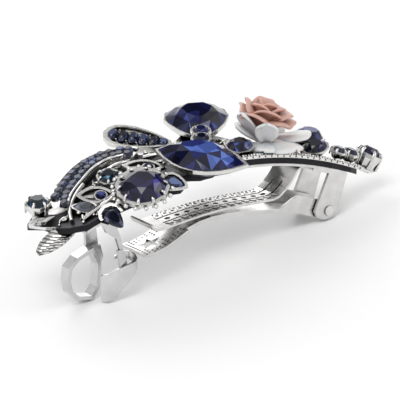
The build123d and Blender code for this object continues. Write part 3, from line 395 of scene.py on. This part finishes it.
def gem_into(bm, layer, pts, rng, fr, o, bias=0.0, table_reflection=None, low=0.02, high=0.62):
    vs = [bm.verts.new(A(p)) for p in pts]
    r_ = bmesh.ops.convex_hull(bm, input=vs, use_existing_faces=False)
    faces = [f for f in r_["geom"] if isinstance(f, bmesh.types.BMFace)]
    junk = [e for e in r_.get("geom_interior", []) if isinstance(e, bmesh.types.BMVert)]
    if junk:
        bmesh.ops.delete(bm, geom=junk, context="VERTS")
    ez = AV(fr[2])
    tabs = []
    for f in faces:
        if not f.is_valid:
            continue
        f.normal_update()
        d = f.normal.dot(ez)
        if d > 0.995:
            tabs.append(f)
        # painted reflection: random brightness per facet, a little more on the gem's +ex side as its lit side, the
        # table facet set apart
        val = low + (high - low) * rng.random() ** 1.7 + bias
        lit_side = (f.calc_center_median() - A(o)).normalized().dot(AV(fr[0]))
        val += 0.10 * lit_side
        f[layer] = max(0.0, min(1.0, val))
    if table_reflection is not None:
        for f in tabs:
            f[layer] = table_reflection
    return faces


def merge_flat(bm, ang=0.01):
    bmesh.ops.dissolve_limit(bm, angle_limit=ang, verts=bm.verts, edges=bm.edges)


def gems(name, items, mat, node, seed=1, n=8, table_reflection=None, low=0.02, high=0.62):
    """items: (outline, o, normal, toward, crown, pav, table, bias)"""
    bm = bmesh.new()
    layer = bm.faces.layers.float.new("facet")
    rng = random.Random(seed)
    for out, o, nrm, tow, crown, pav, table, bias in items:
        fr = basis(nrm, tow)
        gem_into(bm, layer, gem_points(out, o, fr, crown, pav, table, n), rng, fr, o, bias + 0.16 * (rng.random() - 0.5), table_reflection, low, high)
    bmesh.ops.dissolve_limit(bm, angle_limit=0.004, verts=bm.verts, edges=bm.edges, delimit=set())
    me = bpy.data.meshes.new(name)
    bm.to_mesh(me)
    bm.free()
    ob = link(name, me, mat)
    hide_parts(node)
    return ob


S2 = (0.8, -0.6, 0.0)
gems("marquise_gem", [(marq_outline(8.8, 5.0), (-3.4, -5.3, zc(-3.4) + 4.3), lean(16), (0.60, -0.80, 0.0), 2.5, 2.0, 0.50, 0.0)], SAPPH, "marquise_crystal", 5, table_reflection=0.60, low=0.0, high=0.46)
gems("pear_gem", [(pear_outline(6.2, 5.9), (10.7, 16.3, zc(10.7) + 4.8), lean(15), (-0.45, -0.89, 0.0), 2.9, 2.5, 0.50, -0.06)], SAPPH, "pear_crystal", 11, table_reflection=0.22, low=0.0, high=0.58)
gems("round_gem", [(rnd_outline(4.5), (-18.0, -6.6, zc(-18) + 3.8), lean(28), S2, 2.0, 1.8, 0.52, -0.08)], VIOLET, "round_crystal", 7, table_reflection=0.18)
gems("left_end_gem", [(rnd_outline(2.1), (-32.6, 8.2, zc(-32.6) + 4.8), lean(12), S2, 1.2, 1.4, 0.55, 0.0)], TEAL, "left_end_crystal", 3)
gems("teal_gem", [(rnd_outline(1.95), (-18.6, 4.6, zc(-18.6) + 3.4), lean(25), S2, 1.1, 1.2, 0.55, -0.05)], TEAL, "teal_crystal", 9)
gems("drop_gems", [(pear_outline(2.45, 1.52), (-24.6, -6.9, zc(-24.6) + 0.8), lean(46), (0.35, -0.60, -0.72), 0.6, 0.55, 0.6, 0.0),
                   (pear_outline(1.95, 1.22), (-11.9, -8.6, zc(-11.9) + 2.5), lean(36), (0.55, -0.83, -0.3), 0.6, 0.55, 0.6, 0.0)], SMOKE, "drop_stones", 4)
gems("centre_gems", [(rnd_outline(1.65), (6.7, 9.3, zc(6.7) + 4.6), lean(16), S2, 0.9, 0.9, 0.55, 0.0),
                     (rnd_outline(1.65), (4.1, 5.4, zc(4.1) + 4.2), lean(16), S2, 0.9, 0.9, 0.55, -0.1)], NAVY, "centre_stones", 6)
gems("side_navy_gem", [(rnd_outline(2.6, 2.2), (8.9, -1.1, zc(8.9) + 3.6), lean(22), S2, 1.4, 1.3, 0.5, 0.05)], SAPPH, "side_navy_crystal", 14, n=6)
gems("right_oval_gems", [(rnd_outline(3.4, 2.5), (28.9, 1.9, zc(28.9) + 5.6), (0.12, -0.25, 0.96), (0.98, 0.0, -0.2), 1.6, 1.5, 0.55, -0.04),
                         (rnd_outline(2.6, 1.9), (27.4, -2.3, zc(27.4) + 3.9), lean(22), (0.98, 0.0, -0.3), 1.2, 1.1, 0.55, 0.02)], NAVY, "right_oval_crystals", 21)
gems("tip_gems", [(rnd_outline(1.45), (35.1, -0.6, zc(35.1) + 4.2), (0.25, -0.2, 0.95), (0.9, -0.2, -0.3), 0.9, 0.9, 0.55, 0.0),
                  (rnd_outline(1.6), (38.8, 0.0, zc(38.8) + 4.6), (0.25, -0.2, 0.95), (0.9, -0.2, -0.3), 0.9, 0.9, 0.55, 0.0)], SMOKE, "tip_stones", 23)
gems("tip_claw_gem", [(rnd_outline(2.45), (44.2, 0.2, zc(44.2) + 6.0), (0.42, -0.12, 0.90), (0.9, 0.0, -0.42), 1.5, 1.4, 0.55, -0.1)], NAVY, "tip_claw_stone", 25)


def slope(x):
    return -2 * 0.0063 * (x - 4.0)


feather_c = [(-29.6, 5.2), (-27.4, 8.0), (-24.4, 10.3), (-21.0, 12.4), (-17.4, 14.0), (-13.8, 14.3), (-10.6, 13.0), (-8.4, 10.4)]
rows = []
for i in range(len(feather_c) - 1):
    for f in (0.0, 0.5):
        x = feather_c[i][0] + (feather_c[i + 1][0] - feather_c[i][0]) * f
        y = feather_c[i][1] + (feather_c[i + 1][1] - feather_c[i][1]) * f
        a = feather_c[max(i - 1, 0)]; b_ = feather_c[min(i + 1, len(feather_c) - 1)]
        dx, dy = b_[0] - a[0], b_[1] - a[1]; l = math.hypot(dx, dy)
        rows.append((x, y, -dy / l, dx / l))
its, its2 = [], []
prong = []
rr_ = random.Random(77)
for k, (x, y, nx, ny) in enumerate(rows):
    for s in (-1.15, 1.15):
        X, Y = x + nx * s, y + ny * s
        if math.hypot(X + 32.6, Y - 8.2) < 4.1:
            continue
        its.append((rnd_outline(1.12), (X, Y, zc(X) + HI + 1.62), (-slope(X) - 0.08, -0.12, 1.0), (1, 0, 0), 0.75, 0.7, 0.55, 0.02))
    if k > 1:
        for s in (-2.1, 0.0, 2.1):
            X, Y = x + nx * s - ny * 1.0, y + ny * s + nx * 1.0
            prong.append((X, Y, zc(X) + HI + 1.58, 0.20 if s else 0.17))
gems("feather_gems", its, SMOKE, "feather_stones", 31)

po = (-4.2, 16.2, zc(-4.2) + 3.5)
pfr = basis(lean(26), (0.62, -0.78, 0.02))
pit = []
for i in range(6):
    u_ = -5.3 + 2.16 * i
    sr = (1.25, 1.25, 1.25, 1.2, 1.05, 0.8)[i]
    o = Vector(po) + pfr[0] * u_ + pfr[2] * 0.05
    pit.append((rnd_outline(1.14, min(1.7, sr * 1.36)), tuple(o), lean(26), (0.62, -0.78, 0.02), 0.8, 0.65, 0.55, -0.02))
    for s in (-1, 1):
        q = o + pfr[0] * 1.08 + pfr[1] * (sr * 1.15 * s)
        prong.append((q.x, q.y, q.z + 0.1, 0.20))
gems("petal_loop_gems", pit, SMOKE, "petal_loop_stones", 37)

lf = []
for o, n_, tw, su in [((-22.9, 2.3, zc(-22.9) + 2.1), lean(34), (0.85, -0.52, 0.0), 0.9), ((-12.6, 1.2, zc(-12.6) + 3.6), lean(22), (0.78, -0.62, 0.0), 0.9)]:
    fr = basis(n_, tw)
    c = Vector(o) + fr[0] * su + fr[2] * 0.15
    lf.append((rnd_outline(1.05), tuple(c), n_, tw, 0.7, 0.75, 0.55, 0.1))
gems("leaf_frame_gems", lf, NAVY, "leaf_frame_stones", 41)


def beads(name, pts, mat, seg=10):
    bm = bmesh.new()
    for x, y, z, r_ in pts:
        c = A((x, y, z))
        res = bmesh.ops.create_icosphere(bm, subdivisions=2, radius=r_ / 1000)
        bmesh.ops.translate(bm, verts=res["verts"], vec=c)
        bmesh.ops.scale(bm, verts=res["verts"], vec=(1, 1, 0.85), space=Matrix.Translation(-c))
    me = bpy.data.meshes.new(name)
    bm.to_mesh(me)
    bm.free()
    return link(name, me, mat, smooth=True)


beads("prong_beads", prong, CAST)


def claws(name, specs, mat):
    """specs: (o, n, toward, radius, count, drop, rise, thick, phase)"""
    bm = bmesh.new()
    for o, n_, tw, R, cnt, drop, rise, th, ph in specs:
        fr = basis(n_, tw)
        for k in range(cnt):
            t = 2 * math.pi * k / cnt + ph
            d = fr[0] * math.cos(t) + fr[1] * math.sin(t)
            e = fr[2].cross(d)
            path = [(R + 0.28, -drop), (R + 0.34, -0.3 * drop), (R + 0.30, 0.25 * rise), (R + 0.02, 0.8 * rise), (R - 0.38, rise)]
            wd = [1.0, 1.0, 0.95, 0.8, 0.55]
            rings = []
            for (pr, pz), w_ in zip(path, wd):
                c = Vector(o) + d * pr + fr[2] * pz
                ring = []
                for q in range(8):
                    a = 2 * math.pi * q / 8
                    ring.append(bm.verts.new(A(c + e * (th * w_ * math.cos(a)) + (d * 0.75 + fr[2] * 0.35).normalized() * (th * 0.6 * w_ * math.sin(a)))))
                rings.append(ring)
            for r0, r1 in zip(rings[:-1], rings[1:]):
                for q in range(8):
                    bm.faces.new((r0[q], r0[(q + 1) % 8], r1[(q + 1) % 8], r1[q]))
            bm.faces.new(rings[0][::-1])
            bm.faces.new(rings[-1])
    bmesh.ops.recalc_face_normals(bm, faces=bm.faces)
    me = bpy.data.meshes.new(name)
    bm.to_mesh(me)
    bm.free()
    return link(name, me, mat, smooth=True)


claws("stone_claws", [
    ((-32.6, 8.2, zc(-32.6) + 4.8), lean(12), S2, 2.1, 6, 1.7, 0.9, 0.34, 0.3),
    ((-18.6, 4.6, zc(-18.6) + 3.4), lean(25), S2, 1.95, 6, 1.5, 0.8, 0.34, 0.6),
    ((44.2, 0.2, zc(44.2) + 6.0), (0.42, -0.12, 0.90), (0.9, 0.0, -0.42), 2.45, 6, 3.0, 1.0, 0.46, 0.2),
    ((-18.0, -6.6, zc(-18) + 3.8), lean(28), S2, 4.5, 10, 1.3, 0.9, 0.36, 0.2),
    ((35.1, -0.6, zc(35.1) + 4.2), (0.25, -0.2, 0.95), (0.9, -0.2, -0.3), 1.45, 4, 1.3, 0.7, 0.30, 0.8),
    ((38.8, 0.0, zc(38.8) + 4.6), (0.25, -0.2, 0.95), (0.9, -0.2, -0.3), 1.6, 4, 1.5, 0.7, 0.30, 0.8),
], CAST)


# fine scrolls and grains cast on the upper face of the backing
def lace(name, mat, node_below, seed=12):
    rng = random.Random(seed)
    bm = bmesh.new()

    def tube(pts, r_):
        rings = []
        for i, p in enumerate(pts):
            a = pts[max(i - 1, 0)]
            b = pts[min(i + 1, len(pts) - 1)]
            d = (b - a).normalized()
            s_ = d.cross(Vector((0, 0, 1))).normalized()
            u_ = s_.cross(d)
            w_ = r_ * (0.55 if i in (0, len(pts) - 1) else 1.0)
            rings.append([bm.verts.new(A(p + s_ * (w_ * math.cos(2 * math.pi * q / 7)) + u_ * (w_ * math.sin(2 * math.pi * q / 7)))) for q in range(7)])
        for r0, r1 in zip(rings[:-1], rings[1:]):
            for q in range(7):
                bm.faces.new((r0[q], r0[(q + 1) % 7], r1[(q + 1) % 7], r1[q]))
        bm.faces.new(rings[0][::-1])
        bm.faces.new(rings[-1])

    def scroll(x, y, size, ang, hand):
        pts = []
        for k in range(13):
            t = k / 12
            rad = size * (1.0 - 0.72 * t)
            a = ang + hand * 4.4 * t
            px, py = x + rad * math.cos(a), y + rad * math.sin(a)
            pts.append(Vector((px, py, zc(px) + HI + 0.16 + 0.10 * math.sin(3.1 * t))))
        tube(pts, 0.23)
        c = pts[-1]
        grains.append((c.x, c.y, c.z + 0.12, 0.34))

    grains = []
    spots = [(-30.4, 1.6, 1.1), (-27.6, -1.8, 1.2), (-25.2, -3.4, 0.9), (-23.2, -1.4, 1.1), (-21.6, -3.9, 0.8), (-24.4, 4.6, 1.1), (-21.8, 6.6, 1.2), (-18.8, 8.2, 1.3), (-15.6, 7.2, 1.2),
             (-15.0, 3.8, 1.2), (-17.6, 1.4, 1.1), (-13.4, 10.2, 1.0), (-11.4, 5.2, 1.3), (-9.0, 7.6, 1.0), (-8.8, 2.6, 1.1), (-6.0, 5.0, 1.2), (-5.6, 9.4, 1.2), (-2.8, 7.0, 1.2), (-1.2, 10.0, 1.2),
             (1.0, 5.0, 1.2), (2.4, 9.2, 1.1), (1.4, 1.4, 1.2), (4.6, 1.6, 1.2), (6.2, -2.6, 1.1), (3.0, 12.6, 1.0), (9.2, 5.2, 1.3), (12.0, 8.0, 1.2), (11.8, 3.0, 1.2), (11.6, -1.6, 1.0), (13.6, 11.0, 1.1),
             (22.6, -2.0, 1.0), (24.0, 1.8, 1.1), (24.6, 4.2, 1.0), (21.4, 5.4, 1.1), (30.8, -3.2, 0.9), (32.6, 1.8, 1.0), (31.2, 4.2, 0.8), (36.8, 1.4, 0.8), (34.4, -2.6, 0.8), (37.4, -1.8, 0.7), (8.4, 16.0, 1.0), (-8.4, 13.0, 1.0)]
    for i, (x, y, sz) in enumerate(spots):
        scroll(x, y, sz, rng.uniform(0, 6.28), 1 if i % 2 else -1)
        scroll(x + rng.uniform(-0.5, 0.5), y + rng.uniform(-0.5, 0.5), sz * 0.8, rng.uniform(0, 6.28), -1 if i % 2 else 1)
        for _ in range(3):
            gx, gy = x + rng.uniform(-1.5, 1.5), y + rng.uniform(-1.3, 1.3)
            grains.append((gx, gy, zc(gx) + HI + 0.18, rng.uniform(0.22, 0.36)))
    for i in range(46):
        gx = 7.4 + 0.68 * i
        if gx > 38.4:
            break
        grains.append((gx, -4.42 + 0.10 * math.sin(2.1 * i), zc(gx) + HI + 0.74, 0.30 + 0.06 * math.sin(5.3 * i)))
    for x, y, z, r_ in grains:
        c = A((x, y, z))
        res = bmesh.ops.create_icosphere(bm, subdivisions=2, radius=r_ / 1000)
        bmesh.ops.translate(bm, verts=res["verts"], vec=c)
    bmesh.ops.recalc_face_normals(bm, faces=bm.faces)
    me = bpy.data.meshes.new(name)
    bm.to_mesh(me)
    bm.free()
    return link(name, me, mat, smooth=True)


lace("backing_scrolls", CAST, "ornament_backing")


# ------------------------------------------------------------------ spring ribs and pad grid
# painted shade: near-black liners standing for the shade inside the spring slots, dimples and pad holes
SLOT_SHADE = metal_material("painted_shade_in_recess", (0.022, 0.021, 0.020), (0.006, 0.006, 0.006), 0.45, 0.70, (300, 300, 300), 0.2, 0.5)
SPR = [(22.0, 17.9), (21.6, 17.2), (20.4, 15.5), (18.8, 13.9), (17.2, 12.7), (15.6, 12.25), (12.9, 12.3), (8.0, 12.45), (3.0, 12.4), (-2.0, 12.1), (-6.5, 11.6), (-9.8, 11.15), (-12.6, 10.9)]
ARM = [(-15.9, 6.3), (-13.4, 6.6), (-11.0, 7.2), (-8.3, 8.4), (-5.6, 9.7), (-2.6, 10.6), (0.5, 11.0), (4.0, 11.05)]


def along(path, x):
    """centre height and unit normal (x, z) of a bent strip at x"""
    for p, q in zip(path[:-1], path[1:]):
        lo_, hi_ = min(p[0], q[0]), max(p[0], q[0])
        if lo_ <= x <= hi_:
            m = (q[1] - p[1]) / (q[0] - p[0])
            l = math.hypot(1, m)
            return p[1] + m * (x - p[0]), (-m / l, 1 / l)
    return None


def on_strip(path, x, y, up):
    z, (nx, nz_) = along(path, x)
    return Vector((x + nx * up, y, z + nz_ * up))


def disc_into(bm, path, x, y, up, rx, ry, depth=0.05, n=12, rot=0.0):
    """shallow lens lying on a strip"""
    z, (nx, nz_) = along(path, x)
    t = Vector((nz_, 0, -nx))
    w_ = Vector((0, 1, 0))
    nn = Vector((nx, 0, nz_))
    c = Vector((x, y, z)) + nn * up
    top, bot = [], []
    for k in range(n):
        a = 2 * math.pi * k / n
        dx, dy = rx * math.cos(a), ry * math.sin(a)
        dx, dy = dx * math.cos(rot) - dy * math.sin(rot), dx * math.sin(rot) + dy * math.cos(rot)
        top.append(bm.verts.new(A(c + t * dx + w_ * dy)))
        bot.append(bm.verts.new(A(c + t * dx * 0.9 + w_ * dy * 0.9 - nn * depth)))
    ct = bm.verts.new(A(c - nn * depth * 0.5))
    for k in range(n):
        bm.faces.new((top[k], top[(k + 1) % n], ct))
        bm.faces.new((top[(k + 1) % n], top[k], bot[k], bot[(k + 1) % n]))
    bm.faces.new(bot[::-1])


def band_into(bm, path, xs, y, w2, up, depth):
    rings = []
    for x in xs:
        rings.append([bm.verts.new(A(on_strip(path, x, y - w2, up))), bm.verts.new(A(on_strip(path, x, y + w2, up))),
                      bm.verts.new(A(on_strip(path, x, y + w2, up - depth))), bm.verts.new(A(on_strip(path, x, y - w2, up - depth)))])
    for r0, r1 in zip(rings[:-1], rings[1:]):
        for q in range(4):
            bm.faces.new((r0[q], r0[(q + 1) % 4], r1[(q + 1) % 4], r1[q]))
    bm.faces.new(rings[0][::-1])
    bm.faces.new(rings[-1])


def close_mesh(name, bm, mat, body, smooth=False):
    bmesh.ops.recalc_face_normals(bm, faces=bm.faces)
    me = bpy.data.meshes.new(name)
    bm.to_mesh(me)
    bm.free()
    return link(name, me, mat, body=body, smooth=smooth)


T2 = 0.225
rib_y = (7.6 - 0.84) / 3 + 0.42
# painted shade: dark bands in the rib slots and dark discs in the dimples
bm = bmesh.new()
for yy in (-rib_y / 2, rib_y / 2):
    band_into(bm, SPR, [-9.6 + 1.05 * i for i in range(29)], yy, 0.20, T2 + 0.005, 0.30)
for i in range(11):
    xx = -7.9 + 2.35 * i
    disc_into(bm, SPR, xx, 0.0, T2 + 0.015, 0.56, 0.50, 0.15)
for i in range(14):
    xx = -8.6 + 1.85 * i
    for yy in (-rib_y, rib_y):
        disc_into(bm, SPR, xx, yy, T2 + 0.01, 0.30, 0.26, 0.10)
close_mesh("spring_slot_painted_shade", bm, SLOT_SHADE, "spring")

bm = bmesh.new()
for i in range(30):
    xx = -9.2 + 0.925 * i
    if abs(((xx + 8.6) / 1.85) - round((xx + 8.6) / 1.85)) < 0.2:
        continue
    for yy, sg in ((-rib_y, 1), (rib_y, -1)):
        disc_into(bm, SPR, xx, yy, T2 + 0.10, 0.15, 0.98, 0.12, 10, sg * 0.45)
for i in range(26):
    xx = -8.9 + 1.0 * i
    if xx > 16.5:
        break
    for yy in (-3.62, 3.62):
        disc_into(bm, SPR, xx, yy, T2 + 0.10, 0.30, 0.16, 0.12, 8)
close_mesh("spring_chased_marks", bm, CAST, "spring")

# painted shade: dark discs inside the pad holes
bm = bmesh.new()
for ix in range(11):
    for iy in range(-5, 5):
        hx = -15.35 + 0.92 * ix
        hy = 0.82 * iy + (0.41 if ix % 2 else 0.0) + 0.2
        lim = 3.95 if hx < -6.6 else 3.1
        if abs(hy) > lim or math.hypot(hx + 12.2, hy) < 2.75 or (hx > -9.2 and abs(hy) < 1.9):
            continue
        disc_into(bm, ARM, hx, hy, 0.3 + 0.012, 0.235, 0.235, 0.45, 10)
close_mesh("pad_hole_painted_shade", bm, SLOT_SHADE, "arm")


# ------------------------------------------------------------------ rose and petals
def surface(bm, fn, nu, nv):
    vs = [[bm.verts.new(A(fn(i / nu, -1 + 2 * j / nv))) for j in range(nv + 1)] for i in range(nu + 1)]
    for i in range(nu):
        for j in range(nv):
            bm.faces.new((vs[i][j], vs[i + 1][j], vs[i + 1][j + 1], vs[i][j + 1]))


def finish_sheet(name, bm, mat, thick, node=None, sub=1):
    me = bpy.data.meshes.new(name)
    bm.to_mesh(me)
    bm.free()
    o = link(name, me, mat, smooth=True)
    s = o.modifiers.new("thickness", "SOLIDIFY")
    s.thickness = thick / 1000
    s.offset = 0.0
    s.use_even_offset = False
    sb = o.modifiers.new("smooth", "SUBSURF")
    sb.levels = sub
    sb.render_levels = sub
    if node:
        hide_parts(node)
    return o


fx, fy = 17.4, 1.0
fz = zc(fx) + HI
rc = Vector((fx - 1.0, fy + 0.5, fz + 5.7))
rax = Vector((0.16, -0.16, 1.0)).normalized()
rfr = basis(rax, (1, 0, 0))


def rose_petal(phi, span, r0, r1, h, curl, wob, z0=0.0, droop=0.0):
    def fn(s, t):
        width = span * (0.62 + 0.46 * math.sin(math.pi * min(1.0, 0.25 + 0.6 * s)))
        top = 1 - 0.10 * t * t - 0.20 * t ** 4
        a = phi + width * t / 2
        out = r0 + (r1 - r0) * (s ** 1.35)
        z = z0 + h * s * top
        if s > 0.72:
            k = (s - 0.72) / 0.28
            out += curl * k * k * (1.0 + 0.3 * math.sin(3 * t + wob))
            z -= 0.55 * curl * k * k + droop * k * k
        out += 0.26 * math.sin(3.1 * t + wob) * s
        z += 0.30 * math.sin(3.9 * t + wob * 2) * s * s
        d = rfr[0] * math.cos(a) + rfr[1] * math.sin(a)
        return rc + d * (out * 1.24) + rfr[2] * (z * 1.0)
    return fn


bm = bmesh.new()
RP = [
    (-2.75, 1.9, 1.3, 3.9, 4.3, 0.85, 0.3, -0.9, 0.2), (-1.45, 1.8, 1.3, 3.8, 3.7, 0.95, 1.2, -1.0, 0.4), (-0.15, 1.9, 1.3, 4.3, 3.6, 1.10, 2.0, -1.0, 0.5),
    (1.15, 1.8, 1.3, 3.9, 4.1, 0.85, 2.9, -0.9, 0.2), (2.40, 1.9, 1.3, 3.9, 4.4, 0.85, 4.1, -0.9, 0.2),
    (-2.1, 2.0, 1.1, 3.2, 4.9, 0.75, 0.9, -0.4, 0.0), (-0.6, 2.0, 1.1, 3.4, 4.5, 0.95, 2.2, -0.4, 0.1), (0.9, 2.0, 1.1, 3.2, 4.9, 0.75, 3.3, -0.4, 0.0), (2.5, 2.0, 1.1, 3.2, 5.2, 0.75, 4.4, -0.4, 0.0),
    (-2.8, 2.3, 0.9, 2.4, 5.1, 0.55, 0.2, 0.0, 0.0), (-0.9, 2.3, 0.9, 2.4, 4.9, 0.60, 1.7, 0.0, 0.0), (1.2, 2.3, 0.9, 2.4, 5.2, 0.55, 3.0, 0.0, 0.0),
    (-1.9, 2.9, 0.6, 1.55, 5.2, 0.35, 0.8, 0.1, 0.0), (1.0, 2.9, 0.6, 1.45, 5.3, 0.35, 2.4, 0.1, 0.0),
    (2.4, 3.4, 0.3, 0.80, 5.2, 0.18, 1.4, 0.1, 0.0),
]
for q in RP:
    surface(bm, rose_petal(*q), 9, 10)
finish_sheet("rose_petals", bm, ROSE, 0.62, "resin_rose")
bm = bmesh.new()
prof = [(0.0, -1.0), (1.2, -0.95), (1.9, -0.5), (2.4, 0.4), (2.5, 1.6), (1.8, 2.9), (0.9, 3.6), (0.0, 3.8)]
rings = []
for pr, pz in prof:
    rings.append([bm.verts.new(A(rc + (rfr[0] * math.cos(2 * math.pi * k / 20) + rfr[1] * math.sin(2 * math.pi * k / 20)) * max(pr, 0.02) + rfr[2] * pz)) for k in range(20)])
for a_, b_ in zip(rings[:-1], rings[1:]):
    for k in range(20):
        bm.faces.new((a_[k], a_[(k + 1) % 20], b_[(k + 1) % 20], b_[k]))
bm.faces.new(rings[0][::-1])
bm.faces.new(rings[-1])
me = bpy.data.meshes.new("rose_heart")
bm.to_mesh(me)
bm.free()
rh = link("rose_heart", me, ROSE, smooth=True)
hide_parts("resin_rose")


def flat_petal(az_, el_, length, width, root=1.2, z0=2.4, cup_=0.16, tipcurl=0.5, twist=0.0):
    a, e = math.radians(az_), math.radians(el_)
    d = Vector((math.cos(a) * math.cos(e), math.sin(a) * math.cos(e), math.sin(e)))
    side = Vector((-math.sin(a), math.cos(a), 0.0))
    nrm = d.cross(side) * -1
    tw = math.radians(twist)
    side, nrm = side * math.cos(tw) + nrm * math.sin(tw), nrm * math.cos(tw) - side * math.sin(tw)
    o = Vector((fx + root * math.cos(a), fy + root * math.sin(a), fz + z0))
    def fn(s, t):
        wv = width * (0.26 + 0.78 * math.sin(math.pi * (0.08 + 0.74 * s)) ** 0.9)
        if s > 0.80:
            wv *= math.sqrt(max(0.0, 1 - ((s - 0.80) / 0.20) ** 2)) * 0.96 + 0.04
        return o + d * (length * s) + side * (wv * t / 2) + nrm * (cup_ * width * t * t + tipcurl * s * s + 0.10 * math.sin(5 * t + 2 * s))
    return fn


bm = bmesh.new()
FP = [
    (-178, 56, 7.2, 4.8, 2.2, 3.4, 0.14, 0.3, 0), (-128, 58, 5.4, 4.7, 3.2, 3.2, 0.14, 0.3, 0),
    (-84, -10, 7.4, 7.4, 1.4, 3.0, 0.12, -0.7, 0), (-24, 2, 7.6, 6.4, 1.6, 3.1, 0.10, -0.4, 0),
    (-134, -8, 6.2, 6.4, 1.4, 2.8, 0.10, -0.4, 0), (42, 16, 7.4, 5.2, 1.6, 2.4, 0.12, 0.2, 0), (98, 26, 6.8, 5.2, 1.6, 2.5, 0.12, 0.3, 0), (150, 40, 6.0, 4.8, 1.6, 2.6, 0.12, 0.3, 0),
]
for q in FP:
    surface(bm, flat_petal(*q), 12, 8)
finish_sheet("frosted_petals", bm, PETAL, 0.55, "white_petals")
#PIECES_END

# ------------------------------------------------------------------ floor, light, camera
def floor():
    me = bpy.data.meshes.new("studio_floor")
    s, n = 1.6, 24
    vs, fs = [], []
    prof = []
    for i in range(n + 1):
        prof.append((-s + 2 * s * i / n, 0.0))
    for i in range(n + 1):
        for j in range(n + 1):
            vs.append((-s + 2 * s * i / n, -s + 2 * s * j / n, -0.0002))
    for i in range(n):
        for j in range(n):
            a = i * (n + 1) + j
            fs.append((a, a + n + 1, a + n + 2, a + 1))
    me.from_pydata(vs, [], fs)
    o = bpy.data.objects.new("studio_floor", me)
    bpy.context.collection.objects.link(o)
    m, nt, b = new_mat("pale_floor")
    n1 = noise(nt, coords(nt, 1.0), 6.0, 3.0, 0.5)
    c = ramp(nt, n1, [(0.3, g(0.90)), (0.7, g(0.93))])
    nt.links.new(c, b.inputs["Base Color"])
    b.inputs["Roughness"].default_value = 0.7
    me.materials.append(m)
    return o


floor()


def area(name, loc, target, size, power, size_y=None, col=(1, 1, 1)):
    l = bpy.data.lights.new(name, "AREA")
    l.energy = power
    l.shape = "RECTANGLE"
    l.size = size
    l.size_y = size_y or size
    l.color = col
    o = bpy.data.objects.new(name, l)
    o.location = loc
    d = Vector(target) - Vector(loc)
    o.rotation_euler = d.to_track_quat("-Z", "Y").to_euler()
    bpy.context.collection.objects.link(o)
    return o


cx = (CAD_BOX[0][0] + CAD_BOX[1][0]) / 2
cy = (CAD_BOX[0][1] + CAD_BOX[1][1]) / 2
area("key", (-0.20, -0.18, 0.42), (0, 0, 0.015), 0.22, 0.75)
area("fill", (0.34, -0.30, 0.22), (0, 0, 0.015), 0.20, 0.30)
area("back", (0.10, 0.42, 0.36), (0, 0, 0.015), 0.30, 0.60)
area("side", (-0.45, 0.10, 0.16), (0, 0, 0.015), 0.18, 0.25)

low_back = area("low_back", (0.285, 0.41, 0.15), (0, 0, 0.015), 0.62, 0.62, 0.34)
low_back.visible_camera = False

w = bpy.data.worlds.new("studio")
bpy.context.scene.world = w
w.use_nodes = True
wn = w.node_tree
for n in list(wn.nodes):
    wn.nodes.remove(n)
wo = wn.nodes.new("ShaderNodeOutputWorld")
bg = wn.nodes.new("ShaderNodeBackground")
tc = wn.nodes.new("ShaderNodeTexCoord")
sp = wn.nodes.new("ShaderNodeSeparateXYZ")
wn.links.new(tc.outputs["Generated"], sp.inputs[0])
nz = wn.nodes.new("ShaderNodeTexNoise")
nz.inputs["Scale"].default_value = 2.6
nz.inputs["Detail"].default_value = 2.0
wn.links.new(tc.outputs["Generated"], nz.inputs["Vector"])
rp = ramp(wn, nz.outputs[0], [(0.36, g(0.02)), (0.43, g(0.45)), (0.50, g(1.0))])
wn.links.new(rp, bg.inputs[0])
bg.inputs[1].default_value = 0.85
wn.links.new(bg.outputs[0], wo.inputs[0])

AZ, EL, D = math.radians(-35.0), math.radians(17.0), 360.0
v = Vector((math.sin(AZ) * math.cos(EL), -math.cos(AZ) * math.cos(EL), math.sin(EL)))
r = Vector((math.cos(AZ), math.sin(AZ), 0.0))
u = v.cross(r)
C = A(Vector((0, 0, 14.0)) + v * D)
vv, rr, uu = AV(v), AV(r), AV(u)
cam = bpy.data.cameras.new("camera")
cam.sensor_width = 36.0
cam.lens = 5.0 * D / 400.0 * 36.0
cam.clip_start = 0.01
co = bpy.data.objects.new("camera", cam)
M = Matrix((rr, uu, vv)).transposed().to_4x4()
M.translation = C
co.matrix_world = M
bpy.context.collection.objects.link(co)
bpy.context.scene.camera = co
bpy.context.scene.view_settings.view_transform = "Standard"
